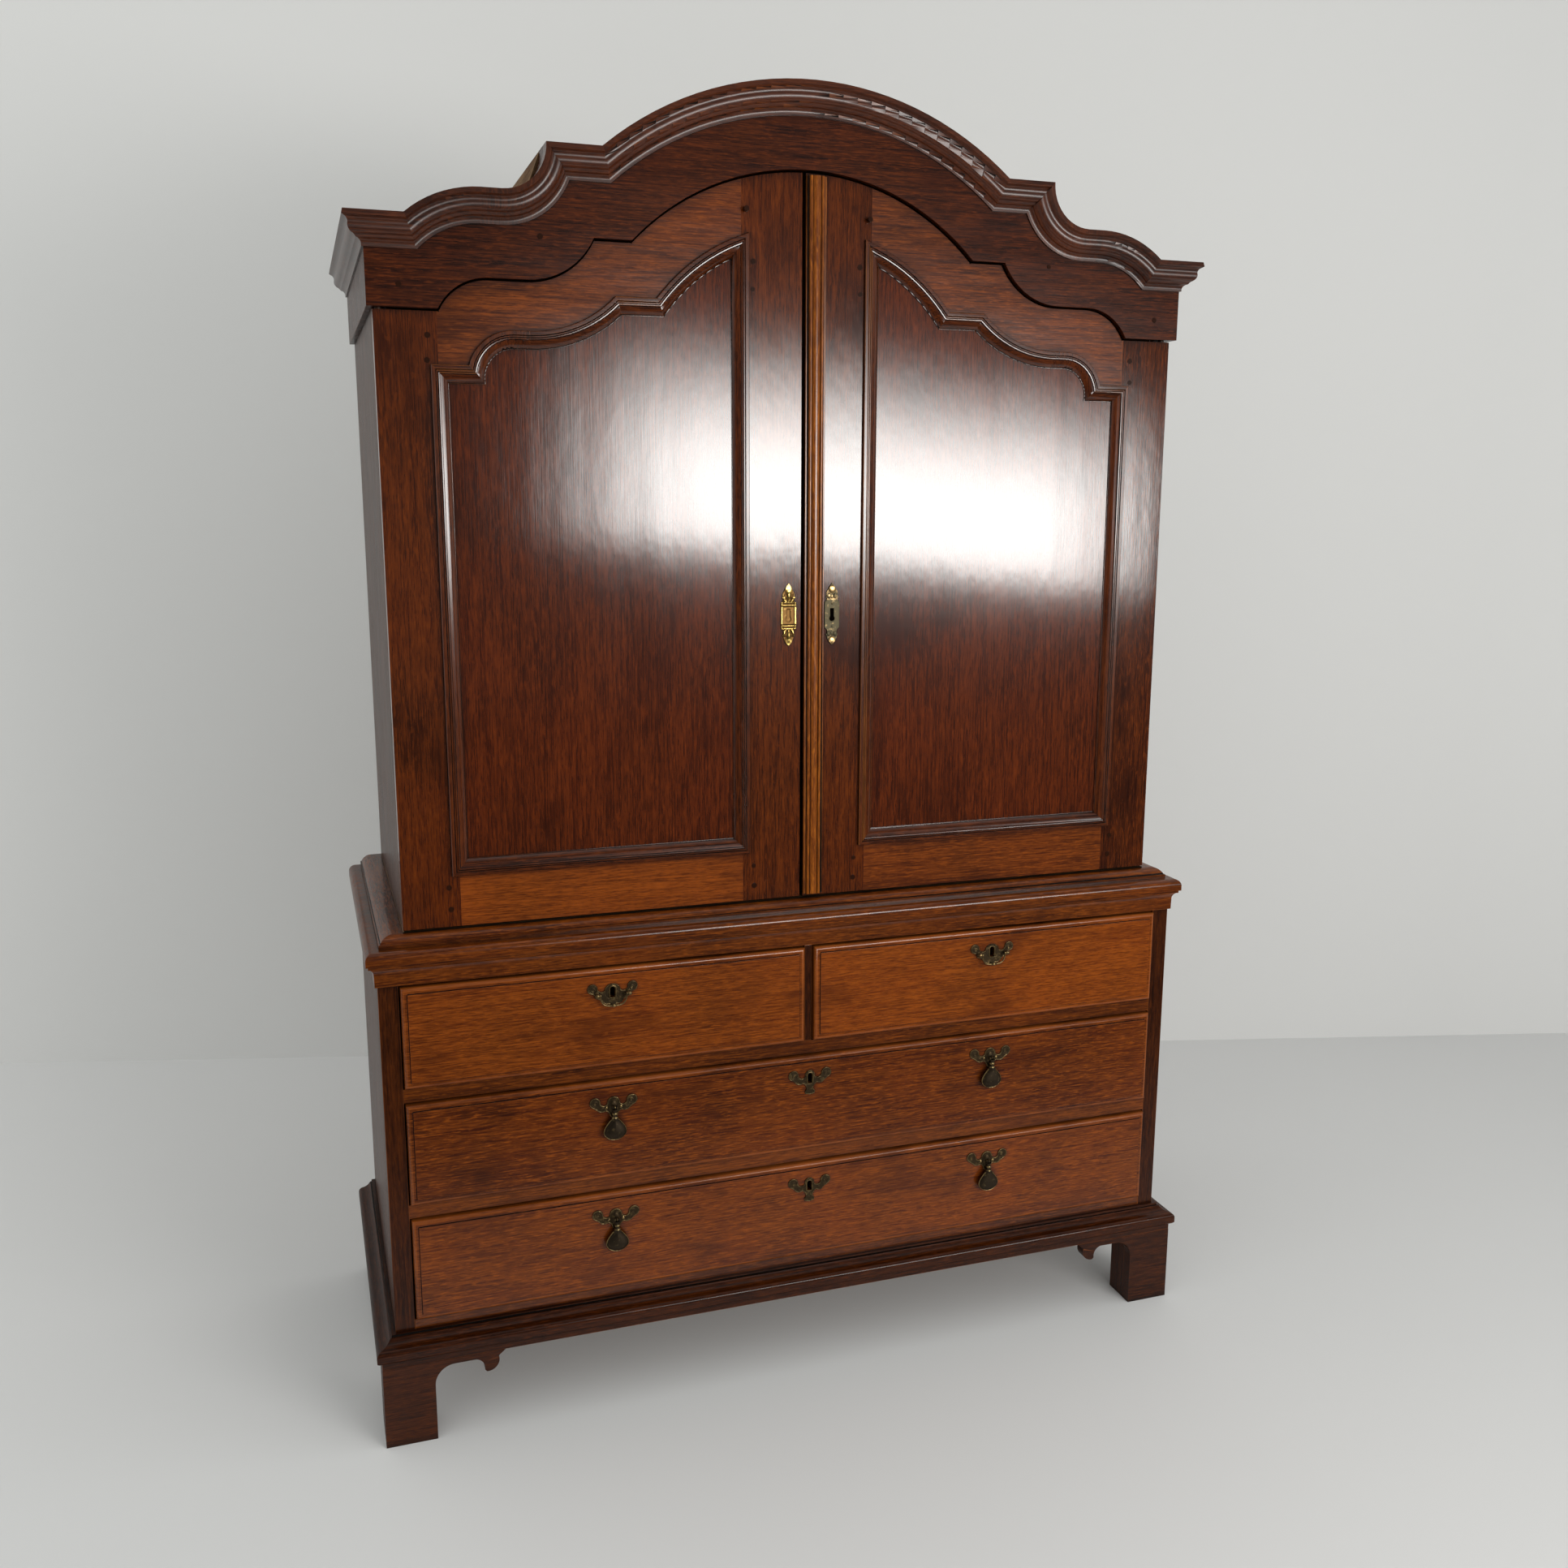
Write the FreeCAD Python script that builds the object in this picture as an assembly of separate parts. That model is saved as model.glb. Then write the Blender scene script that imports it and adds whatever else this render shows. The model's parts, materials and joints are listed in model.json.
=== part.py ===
import FreeCAD, Part
import math
import os

from FreeCAD import Vector

# Oak linen press in two stages: a chest of drawers on bracket feet carries a cupboard with two
# arched, panelled doors under a shaped frieze and cornice.
# Millimetres. X runs across (0 on the centre line), Y runs from the front to the back, Z up.
# Depths are written from the front face of the chest; put_out() then moves every piece so that
# the middle of the footprint stands on the origin.

# ---------------------------------------------------------------- driving dimensions

# chest of drawers
CHEST_HALF = 741.0            # half its width
CHEST_DEPTH = 600.0           # front face to back face
STILE_WIDTH = 32.7            # corner post beside the drawers
STILE_DEPTH = 45.0
RAIL_DEPTH = 60.0
SIDE_BOARD = 22.0             # thickness of the side boards, both stages
BACK_BOARD = 12.0             # thickness of the back boards, both stages
FOOT_HEIGHT = 146.0
BASE_STRIP = 14.0             # height of the flat frame between the feet and the chest
BASE_STRIP_WIDTH = 66.0
PLINTH_HEIGHT = 37.5
PLINTH_NOSE = 33.7            # how far the plinth moulding stands out
FOOT_OUT = 25.9               # how far the feet and the base frame stand out
BOTTOM_RAIL = 55.5            # from the base frame up to the lowest drawer opening
LOWER_OPENING = 185.4         # heights of the three rows of drawers, with their gaps
UPPER_OPENING = 182.6
SHORT_OPENING = 179.2
DRAWER_RAIL = 24.0            # rail between two rows
TOP_RAIL = 40.0               # rail above the short drawers
CHEST_TOP = 21.7              # thickness of the top board
TOP_NOSE = 17.2               # how far the rounded edge of the top board stands out

# bracket feet
FOOT_WIDTH = 86.0
FOOT_BOARD = 22.0
FOOT_BLOCK_DEPTH = 70.0
FOOT_ARCH_RADIUS = 34.0       # of the little arch beside each foot
FOOT_ARCH_FLAT = 36.0         # level part of the arch
FOOT_BRACKET_THICK = 10.0     # wood left above the arch
FOOT_DROP_HEIGHT = 36.0       # how far the scrolled drop hangs below the base frame
FOOT_DROP_WIDTH = 24.0
FOOT_DROP_HOOK = 14.0         # how far the arch turns down into the drop
BRACKET_TAIL = 12.0           # from the drop to the end of the bracket board

# waist
RETAINER_BACK = 5.6           # how far the upper member stands behind the chest's face
RETAINER_HEIGHT = 19.0
RETAINER_DEPTH = 30.0

# cupboard
CUPBOARD_INSET = 46.5         # side of the cupboard in from the side of the chest
SHOULDER_HEIGHT = 978.5       # from the floor board up to the outer ends of the frieze
DOOR_SETBACK = 24.0           # face of the doors behind the face of the chest
DOOR_THICKNESS = 28.0
DOOR_SHUT_GAP = 2.0           # between the doors' backs and the carcase
CUPBOARD_BOTTOM = 21.3
DOOR_FOOT_GAP = 2.3
DOOR_HEAD_GAP = 3.0           # between the doors' shaped tops and the frieze
DOOR_ARRIS = 6.0              # rounding of the hinge edge's back corner, so that it swings clear
CEILING_DROP = 33.5           # underside of the ceiling below the outer ends of the frieze
CEILING = 18.0
HEAD_RAIL = 22.0
SHELF = 18.0
SHELF_COUNT = 3
SHELF_SETBACK = 34.0          # shelves stand behind the head rail's front by this much
BEARER = 20.0
BACK_PLANKS = 5

# frieze and cornice
FRIEZE_PROUD = 10.0           # face of the frieze in front of the doors
SIDE_FRIEZE = 9.0             # thickness of the side friezes planted on the carcase
CORNICE_DEEP = 47.5           # height of the cornice moulding, square to its run
ROOF_BOARD = 10.0

# Each shaped edge steps in and up from its outer end: a level end, a round, a level shelf,
# a hollow, a level notch, and an arch over the middle. Runs are level lengths, rises are heights.
CORNICE_END_RISE = 131.5      # from the frieze's outer ends up to the cornice's top
CORNICE_END = 58.5
CORNICE_ROUND = 115.0
CORNICE_ROUND_RISE = 42.0
CORNICE_SHELF = 30.0
CORNICE_HOLLOW = 68.5
CORNICE_HOLLOW_RISE = 71.5
CORNICE_NOTCH = 86.0
CORNICE_ARCH_RISE = 123.5
FRIEZE_END = 105.0
FRIEZE_ROUND = 78.5
FRIEZE_ROUND_RISE = 48.5
FRIEZE_SHELF = 58.0
FRIEZE_HOLLOW = 106.0
FRIEZE_HOLLOW_RISE = 67.0
FRIEZE_NOTCH = 60.5
FRIEZE_ARCH_RISE = 124.5
PANEL_END_DROP = 81.5         # from the frieze's outer ends down to the panel moulding
PANEL_END = 58.0
PANEL_ROUND = 71.0
PANEL_ROUND_RISE = 54.5
PANEL_SHELF = 24.0
PANEL_HOLLOW = 137.0
PANEL_HOLLOW_RISE = 58.0
PANEL_NOTCH = 66.5
PANEL_ARCH_RISE = 124.0

# doors
MEETING_LEFT = -9.0           # meeting edge of the left door
MEETING_RIGHT = -3.0          # meeting edge of the right door
HINGE_STILE = 82.5            # from the hinge edge to the panel moulding
PANEL_INNER = 101.5           # outside of the panel moulding, from the centre line
PANEL_FOOT_RISE = 85.2        # from the doors' feet up to the panel moulding
MOULD_WIDTH = 27.4
MOULD_LAP = 12.0              # how far the panel moulding laps over the frame
PANEL_RECESS = 7.0
PANEL_THICKNESS = 12.0
PANEL_TONGUE = 8.0
ASTRAGAL_LEFT = -2.5
ASTRAGAL_WIDTH = 34.5
ASTRAGAL_PROUD = 9.0
ASTRAGAL_END_GAP = 4.0

# drawers
DRAWER_GAP = 2.3
DRAWER_PROUD = 12.4
DRAWER_FRONT = 26.4
DRAWER_EDGE = 6.0             # radius of the rounded border
DRAWER_FIELD = 11.0           # the flat field starts this far in
DRAWER_FIELD_RISE = 2.0
DRAWER_SIDE = 12.0
DRAWER_BOTTOM = 8.0
DRAWER_BACK_GAP = 25.0        # between a shut drawer and the back boards
DRAWER_SIDE_DROP = 22.0       # the sides are this much lower than the opening
MUNTIN = 13.6                 # upright between the two short drawers
RUNNER = 20.0
RUNNER_WIDTH = 59.0
SLIDE_GAP = 0.3
GUIDE_HEIGHT = 22.0

# fittings
PLATE = 1.8                   # thickness of the brass plates
PIVOT_PIN = 5.0               # radius of the door pivots
PIVOT_FIT = 0.06
PIVOT_INSET = 9.0             # pivot centre from the doors' hinge edge
PIVOT_SET = 12.0              # pivot centre behind the doors' face
PIVOT_LENGTH = 16.0
SHORT_KEY_Z = 767.0
UPPER_KEY_Z = 565.0
LOWER_KEY_Z = 356.5
DOOR_KEY_Z = 1394.0
DOOR_KEY_RIGHT = 48.0
DOOR_KEY_LEFT = -31.2
PULL_X = 360.0                # drop pulls from the centre line
PULL_RISE = -3.0              # drop pull plates against their row's key hole
DRAWER_KEY = 8.2              # width and height of the drawers' key slots
DRAWER_KEY_HEIGHT = 18.6
DOOR_KEY_SLOT = 6.6           # width of the doors' key slots
DOOR_KEY_EYE = 9.6            # width of the round eye at a slot's foot
DOOR_KEY_HEIGHT = 22.0

# Right halves of the cast plates, from the top of the middle line to its foot, measured from
# the key hole. A pair is a corner; four numbers are an arc, its middle and its end.
SHORT_PLATE = [
    (0.0, 14.5), (10.4, 10.6, 14.0, 3.2), (20.0, 1.6, 26.0, 6.6), (41.2, 13.4, 36.4, -1.0),
    (31.6, -3.8, 30.4, -9.0), (24.0, -11.4, 18.6, -15.0), (13.4, -20.4, 6.0, -21.4), (0.0, -27.0),
]
KEY_PLATE = [
    (0.0, 15.0), (6.6, 12.2, 8.8, 4.4), (15.0, 0.4, 22.0, 6.4), (37.6, 14.2, 36.4, -0.6),
    (31.4, -3.4, 26.4, -8.4), (20.0, -11.0, 13.6, -9.4), (8.2, -14.0, 6.4, -21.0),
    (9.4, -25.0, 8.0, -30.0), (0.0, -31.5),
]
PULL_PLATE = [
    (0.0, 16.0), (7.8, 12.8, 11.0, 4.8), (16.2, 1.0, 23.0, 7.4), (38.6, 14.4, 37.2, -0.8),
    (32.0, -4.0, 26.6, -8.6), (20.0, -10.6, 13.6, -9.0), (8.4, -13.2, 6.4, -19.0), (0.0, -24.0),
]
ESCUTCHEON = [
    (0.0, 54.6), (5.2, 47.6, 9.9, 39.0), (10.6, 35.6, 10.0, 32.4), (11.7, 30.3), (9.7, 27.8),
    (10.6, 24.6), (13.6, 22.4), (13.6, -22.0), (11.0, -24.0), (9.2, -27.4, 10.2, -32.4),
    (11.0, -34.0), (9.6, -36.2), (7.2, -43.4, 0.0, -52.0),
]
PIN_FIT = 0.05                # radial clearance of the pulls' pins
BAIL_HALF = 27.5              # half the distance between the posts of a bail pull
BAIL_CLEAR = 7.0              # from a post's middle to the bail's side
BAIL_DROP = 19.0              # how far the bail hangs down
BAIL_CORNER = 8.0
BAIL_ROD = 2.2
BAIL_BEAD = 3.6
BAIL_KNUCKLE = 2.6
BAIL_PIN = 1.5
BAIL_POST = 4.0               # radius of the posts' round heads
BAIL_STAND = 8.0              # pivot line in front of the plate
BAIL_BELOW_KEY = 2.0          # pivot line below the middle of the key hole
DROP_LENGTH = 60.0
DROP_HALF = 20.5
DROP_THICK = 8.0
DROP_STAND = 8.5
DROP_PIN = 1.6
DROP_EAR = 2.8                # thickness of the drop's two ears
DROP_TONGUE = 2.0             # half the thickness of the tongue between them
DROP_TONGUE_ROUND = 3.4
LOCK_THROW = 9.0
DOOR_LOCK_THROW = 18.0
DOOR_BOLT_THROW = 12.0
LOCK_CASE = 70.0              # width of the drawers' lock cases
LOCK_CASE_DEPTH = 12.0
LOCK_BOLT = 24.0              # width of the locks' bolts
LOCK_BOLT_LENGTH = 28.0
LOCK_BOLT_TOP = 1.0           # the case and the drawn-in bolt end this far below the front's top
DOOR_LOCK_CASE = 92.0
DOOR_LOCK_HEIGHT = 80.0
DOOR_LOCK_DEPTH = 14.0
DOOR_BOLT_X = -42.0           # upright bolt on the left door's back
DOOR_BOLT_LENGTH = 150.0
DOOR_BOLT_HALF = 7.0
DOOR_BOLT_REST = 2.0          # drawn-in bolt below the head rail
DOOR_LOCK_BOLT = 38.0         # length of the right door's lock bolt
STAPLE_WIDTH = 16.0
PIVOT_PLATE_HEIGHT = 50.0
PIVOT_PLATE_WIDTH = 36.0
PIVOT_PLATE_END = 24.0        # from the door's end to the plate
PIVOT_PLATE_THICK = 1.6

# ---------------------------------------------------------------- levels worked out from them

BASE_Z = FOOT_HEIGHT + BASE_STRIP
LOWER_Z = BASE_Z + BOTTOM_RAIL
UPPER_Z = LOWER_Z + LOWER_OPENING + DRAWER_RAIL
SHORT_Z = UPPER_Z + UPPER_OPENING + DRAWER_RAIL
TOP_RAIL_Z = SHORT_Z + SHORT_OPENING
CHEST_TOP_Z = TOP_RAIL_Z + TOP_RAIL
WAIST_Z = CHEST_TOP_Z + CHEST_TOP
FLOOR_Z = WAIST_Z + CUPBOARD_BOTTOM
DOOR_Z = FLOOR_Z + DOOR_FOOT_GAP
SHOULDER_Z = FLOOR_Z + SHOULDER_HEIGHT
CEILING_Z = SHOULDER_Z - CEILING_DROP
PANEL_FOOT = DOOR_Z + PANEL_FOOT_RISE

OPENING_HALF = CHEST_HALF - STILE_WIDTH
CHEST_INSIDE = CHEST_HALF - SIDE_BOARD
CUPBOARD_HALF = CHEST_HALF - CUPBOARD_INSET
CUPBOARD_INSIDE = CUPBOARD_HALF - SIDE_BOARD
PANEL_OUTER = CUPBOARD_HALF - HINGE_STILE
DOOR_BACK_Y = DOOR_SETBACK + DOOR_THICKNESS
CARCASE_Y = DOOR_BACK_Y + DOOR_SHUT_GAP
FRIEZE_Y = DOOR_SETBACK - FRIEZE_PROUD
FRIEZE_HALF = CUPBOARD_HALF + SIDE_FRIEZE
PIVOT_X = CUPBOARD_HALF - PIVOT_INSET
PIVOT_Y = DOOR_SETBACK + PIVOT_SET
BACK_INNER_Y = CHEST_DEPTH - BACK_BOARD
FAR = 60.0                    # past any moulding, for cutters

FRONT_FACE_Y = -DRAWER_PROUD
FRONT_BACK_Y = DRAWER_FRONT - DRAWER_PROUD
FRONT_REACH = max(PLINTH_NOSE, DRAWER_PROUD + PLATE + DROP_STAND + DROP_THICK)
MIDDLE_Y = (CHEST_DEPTH - FRONT_REACH) / 2


# ---------------------------------------------------------------- drawing helpers

def box(x0, x1, y0, y1, z0, z1):
    return Part.makeBox(x1 - x0, y1 - y0, z1 - z0, Vector(x0, y0, z0))


def mirrored(shape):
    """The same piece on the other side of the centre line."""
    return shape.mirror(Vector(0, 0, 0), Vector(1, 0, 0))


def pair(shape):
    return [shape, mirrored(shape)]


def cylinder(radius, start, axis, length):
    return Part.makeCylinder(radius, length, start, axis)


def fused(*shapes):
    whole = shapes[0].fuse(list(shapes[1:]))
    return whole.removeSplitter()


def outline(points, place):
    """A closed wire. A pair is a corner; three numbers and a pair more, (mid, end), is an arc."""
    edges = []
    here = points[0]
    for step in points[1:] + [points[0]]:
        if len(step) == 4:
            middle = place(step[0], step[1])
            end = step[2:]
            edges.append(Part.Arc(place(*here), middle, place(*end)).toShape())
            here = end
        elif math.dist(here, step) > 1e-6:
            edges.append(Part.makeLine(place(*here), place(*step)))
            here = step
    return Part.Wire(edges)


def upright(y):
    """Places (x, z) of a drawing in the upright plane at depth y."""
    return lambda x, z: Vector(x, y, z)


def prism(points, y0, y1):
    """Extrudes an (x, z) drawing from depth y0 to depth y1."""
    face = Part.Face(outline(points, upright(y0)))
    return face.extrude(Vector(0, y1 - y0, 0))


def plan_prism(points, z0, z1):
    """Extrudes an (x, y) drawing from level z0 to level z1."""
    face = Part.Face(outline(points, lambda x, y: Vector(x, y, z0)))
    return face.extrude(Vector(0, 0, z1 - z0))


def cast_outline(half, x, z):
    """The whole outline of a cast plate about (x, z), from its right half."""
    right = [(x + p[0], z + p[1], *(() if len(p) == 2 else (x + p[2], z + p[3]))) for p in half]
    left = []
    for here, step in zip(reversed(half[:-1]), reversed(half[1:])):
        end = here[-2:]
        bend = () if len(step) == 2 else (x - step[0], z + step[1])
        left.append((*bend, x - end[0], z + end[1]))
    return right + left


def put_out(node, pieces):
    moved = Part.makeCompound(pieces)
    moved.translate(Vector(0, -MIDDLE_Y, 0))
    moved.exportStep("parts/" + node + ".step")


# ---------------------------------------------------------------- shaped edges

def level_radius(run, rise):
    """Radius of an arc that starts level and climbs by rise over run."""
    return (run * run + rise * rise) / (2 * rise)


class Crest:
    """A shaped edge: end flat, hollow shelf, notch and arch, the same on both sides of x = 0."""

    def __init__(self, half, end_x, end_z, shelf_out, shelf_in, shelf_z, notch_out, notch_in,
                 notch_z, crown_z):
        self.half = half
        self.end_x = end_x
        self.end_z = end_z
        self.shelf_out = shelf_out
        self.shelf_in = shelf_in
        self.shelf_z = shelf_z
        self.notch_out = notch_out
        self.notch_in = notch_in
        self.notch_z = notch_z
        self.crown_z = crown_z
        self.round_r = level_radius(end_x - shelf_out, shelf_z - end_z)
        self.hollow_r = level_radius(shelf_in - notch_out, notch_z - shelf_z)
        self.arch_r = level_radius(notch_in, crown_z - notch_z)

    def inset(self, by, half=None):
        """The same edge moved square to itself, into the wood below it."""
        round_r = self.round_r - by
        hollow_r = self.hollow_r + by
        arch_r = self.arch_r - by
        end_rise = self.end_z - by - (self.shelf_z - self.round_r)
        notch_fall = self.shelf_z + self.hollow_r - (self.notch_z - by)
        arch_rise = self.notch_z - by - (self.crown_z - self.arch_r)
        return Crest(
            self.half if half is None else half,
            self.shelf_out + math.sqrt(round_r ** 2 - end_rise ** 2), self.end_z - by,
            self.shelf_out, self.shelf_in, self.shelf_z - by,
            self.shelf_in - math.sqrt(hollow_r ** 2 - notch_fall ** 2),
            math.sqrt(arch_r ** 2 - arch_rise ** 2), self.notch_z - by, self.crown_z - by)

    def arcs(self):
        """Centre, radius, level side (+1 below, -1 above) and sweep of each arc on the right."""
        round_a = math.atan2(self.end_x - self.shelf_out, self.round_r - self.shelf_z + self.end_z)
        hollow_a = math.atan2(self.shelf_in - self.notch_out,
                              self.hollow_r - self.notch_z + self.shelf_z)
        arch_a = math.atan2(self.notch_in, self.arch_r - self.crown_z + self.notch_z)
        return {
            "round": (self.shelf_out, self.shelf_z - self.round_r, self.round_r, round_a),
            "hollow": (self.shelf_in, self.shelf_z + self.hollow_r, self.hollow_r, hollow_a),
            "arch": (0.0, self.crown_z - self.arch_r, self.arch_r, arch_a),
        }

    def points(self, foot_z):
        """The closed drawing of everything below the edge down to foot_z."""
        arcs = self.arcs()
        round_x, round_z, round_r, round_a = arcs["round"]
        hollow_x, hollow_z, hollow_r, hollow_a = arcs["hollow"]
        round_mid = (round_x + round_r * math.sin(round_a / 2),
                     round_z + round_r * math.cos(round_a / 2))
        hollow_mid = (hollow_x - hollow_r * math.sin(hollow_a / 2),
                      hollow_z - hollow_r * math.cos(hollow_a / 2))
        return [
            (-self.half, foot_z),
            (-self.half, self.end_z),
            (-self.end_x, self.end_z),
            (-round_mid[0], round_mid[1], -self.shelf_out, self.shelf_z),
            (-self.shelf_in, self.shelf_z),
            (-hollow_mid[0], hollow_mid[1], -self.notch_out, self.notch_z),
            (-self.notch_in, self.notch_z),
            (0.0, self.crown_z, self.notch_in, self.notch_z),
            (self.notch_out, self.notch_z),
            (hollow_mid[0], hollow_mid[1], self.shelf_in, self.shelf_z),
            (self.shelf_out, self.shelf_z),
            (round_mid[0], round_mid[1], self.end_x, self.end_z),
            (self.half, self.end_z),
            (self.half, foot_z),
        ]


def stepped(half, end_z, runs, rises):
    """A crest from the lengths of its steps, outer end first, and from their heights."""
    level, rounded, shelf, hollow, notch = runs
    end_x = half - level
    shelf_out = end_x - rounded
    shelf_in = shelf_out - shelf
    notch_out = shelf_in - hollow
    notch_in = notch_out - notch
    shelf_z = end_z + rises[0]
    notch_z = shelf_z + rises[1]
    crown_z = notch_z + rises[2]
    return Crest(half, end_x, end_z, shelf_out, shelf_in, shelf_z, notch_out, notch_in, notch_z,
                 crown_z)


# top line of the cornice, lower edge of the frieze, outside of the door panels' moulding
CORNICE = stepped(FRIEZE_HALF, SHOULDER_Z + CORNICE_END_RISE,
                  (CORNICE_END, CORNICE_ROUND, CORNICE_SHELF, CORNICE_HOLLOW, CORNICE_NOTCH),
                  (CORNICE_ROUND_RISE, CORNICE_HOLLOW_RISE, CORNICE_ARCH_RISE))
FRIEZE_EDGE = stepped(FRIEZE_HALF, SHOULDER_Z,
                      (FRIEZE_END, FRIEZE_ROUND, FRIEZE_SHELF, FRIEZE_HOLLOW, FRIEZE_NOTCH),
                      (FRIEZE_ROUND_RISE, FRIEZE_HOLLOW_RISE, FRIEZE_ARCH_RISE))
PANEL_EDGE = stepped(PANEL_OUTER, SHOULDER_Z - PANEL_END_DROP,
                     (PANEL_END, PANEL_ROUND, PANEL_SHELF, PANEL_HOLLOW, PANEL_NOTCH),
                     (PANEL_ROUND_RISE, PANEL_HOLLOW_RISE, PANEL_ARCH_RISE))


def under(crest, foot_z, y0, y1):
    return prism(crest.points(foot_z), y0, y1)


# ---------------------------------------------------------------- mouldings

# Sections are drawn as (across, out): across the run from its outside edge, and out of the face
# that it is planted on. A list of four numbers is the middle and the end of an arc.

CORNICE_SECTION = [
    (0.0, 0.0),
    (0.0, 28.7),
    (7.5, 30.2),
    (9.2, 27.4),
    (12.6, 23.0, 18.4, 21.8),
    (26.4, 20.8, 31.6, 14.6),
    (33.4, 12.6),
    (36.0, 10.6),
    (38.6, 5.4, 44.0, 3.0),
    (CORNICE_DEEP, 3.0),
    (CORNICE_DEEP, 0.0),
]

PANEL_SECTION = [
    (0.0, 0.0),
    (0.0, 5.0),
    (1.0, 6.0),
    (6.0, 6.0),
    (7.0, 4.4),
    (7.9, 5.3),
    (9.3, 5.3),
    (10.2, 4.0),
    (11.1, 4.8),
    (12.5, 4.6),
    (13.4, 3.0),
    (18.6, 1.8),
    (23.0, -1.4),
    (26.2, -5.4),
    (MOULD_WIDTH, -5.4),
    (MOULD_WIDTH, -PANEL_RECESS),
    (MOULD_LAP, -PANEL_RECESS),
    (MOULD_LAP, 0.0),
]

# Horizontal mouldings are drawn as (out, up) from the chest's face and from their lowest level.

PLINTH_SECTION = [
    (0.0, 0.0),
    (30.4, 0.0),
    (PLINTH_NOSE, 3.4),
    (PLINTH_NOSE, 14.0),
    (31.4, 19.6, 25.6, 22.4),
    (16.0, 26.4, 10.4, 33.0),
    (7.4, 33.4),
    (7.0, PLINTH_HEIGHT),
    (0.0, PLINTH_HEIGHT),
]

COVE_SECTION = [
    (0.0, 0.0),
    (4.2, 1.6),
    (4.6, 20.6),
    (6.4, 29.2, 11.4, 34.6),
    (13.6, 34.8),
    (13.6, TOP_RAIL),
    (0.0, TOP_RAIL),
]

RETAINER_SECTION = [
    (-RETAINER_DEPTH, 0.0),
    (-RETAINER_BACK, 0.0),
    (-RETAINER_BACK, 6.8),
    (-8.0, 7.4),
    (-15.0, 15.6, -25.6, RETAINER_HEIGHT),
    (-RETAINER_DEPTH, RETAINER_HEIGHT),
]


def wedge(half, front_y, back_y, side):
    """Plan of what the front run (side 0) or the right run (side 1) takes up to its mitres."""
    deep = 2 * FAR
    if side == 0:
        return [(-half - FAR, front_y - FAR), (half + FAR, front_y - FAR),
                (half - deep, front_y + deep), (-half + deep, front_y + deep)]
    return [(half + FAR, front_y - FAR), (half + FAR, back_y), (half - deep, back_y),
            (half - deep, front_y + deep)]


def three_runs(section, half, front_y, back_y, foot_z):
    """A horizontal moulding along the front and both sides, mitred at the front corners."""
    low = foot_z - FAR
    high = foot_z + 2 * FAR
    front = Part.Face(outline(section, lambda o, u: Vector(-half - FAR, front_y - o, foot_z + u)))
    front = front.extrude(Vector(2 * (half + FAR), 0, 0))
    front = front.common(plan_prism(wedge(half, front_y, back_y, 0), low, high))
    right = Part.Face(outline(section, lambda o, u: Vector(half + o, front_y - FAR, foot_z + u)))
    right = right.extrude(Vector(0, back_y - front_y + FAR, 0))
    right = right.common(plan_prism(wedge(half, front_y, back_y, 1), low, high))
    return [front.Solids[0]] + pair(right.Solids[0])


def beside(p0, p1, keep):
    """A slab that fills the side of the line p0-p1 on which the point keep lies."""
    far = 2 * CORNICE.crown_z
    length = math.dist(p0, p1)
    along = ((p1[0] - p0[0]) / length, (p1[1] - p0[1]) / length)
    square = (-along[1], along[0])
    reach = (keep[0] - p0[0]) * square[0] + (keep[1] - p0[1]) * square[1]
    sign = 1 if reach > 0 else -1
    a = (p0[0] - along[0] * far, p0[1] - along[1] * far)
    b = (p1[0] + along[0] * far, p1[1] + along[1] * far)
    c = (b[0] + square[0] * sign * far, b[1] + square[1] * sign * far)
    d = (a[0] + square[0] * sign * far, a[1] + square[1] * sign * far)
    return prism([a, b, c, d], -2 * FAR, 2 * FAR)


def flat_run(section, face_y, x0, x1, top_z):
    face = Part.Face(outline(section, lambda n, p: Vector(x0, face_y - p, top_z - n)))
    return face.extrude(Vector(x1 - x0, 0, 0))


def arc_run(section, face_y, arc, hollow, start, end):
    """Turns the section about the arc's centre, from angle start to angle end off the upright."""
    cx, cz, radius, _ = arc
    up = -1 if hollow else 1
    side = -1 if hollow else 1

    def place(n, p):
        r = radius + n if hollow else radius - n
        return Vector(cx + side * r * math.sin(start), face_y - p, cz + up * r * math.cos(start))

    face = Part.Face(outline(section, place))
    return face.revolve(Vector(cx, 0, cz), Vector(0, 1, 0), math.degrees(end - start))


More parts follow.
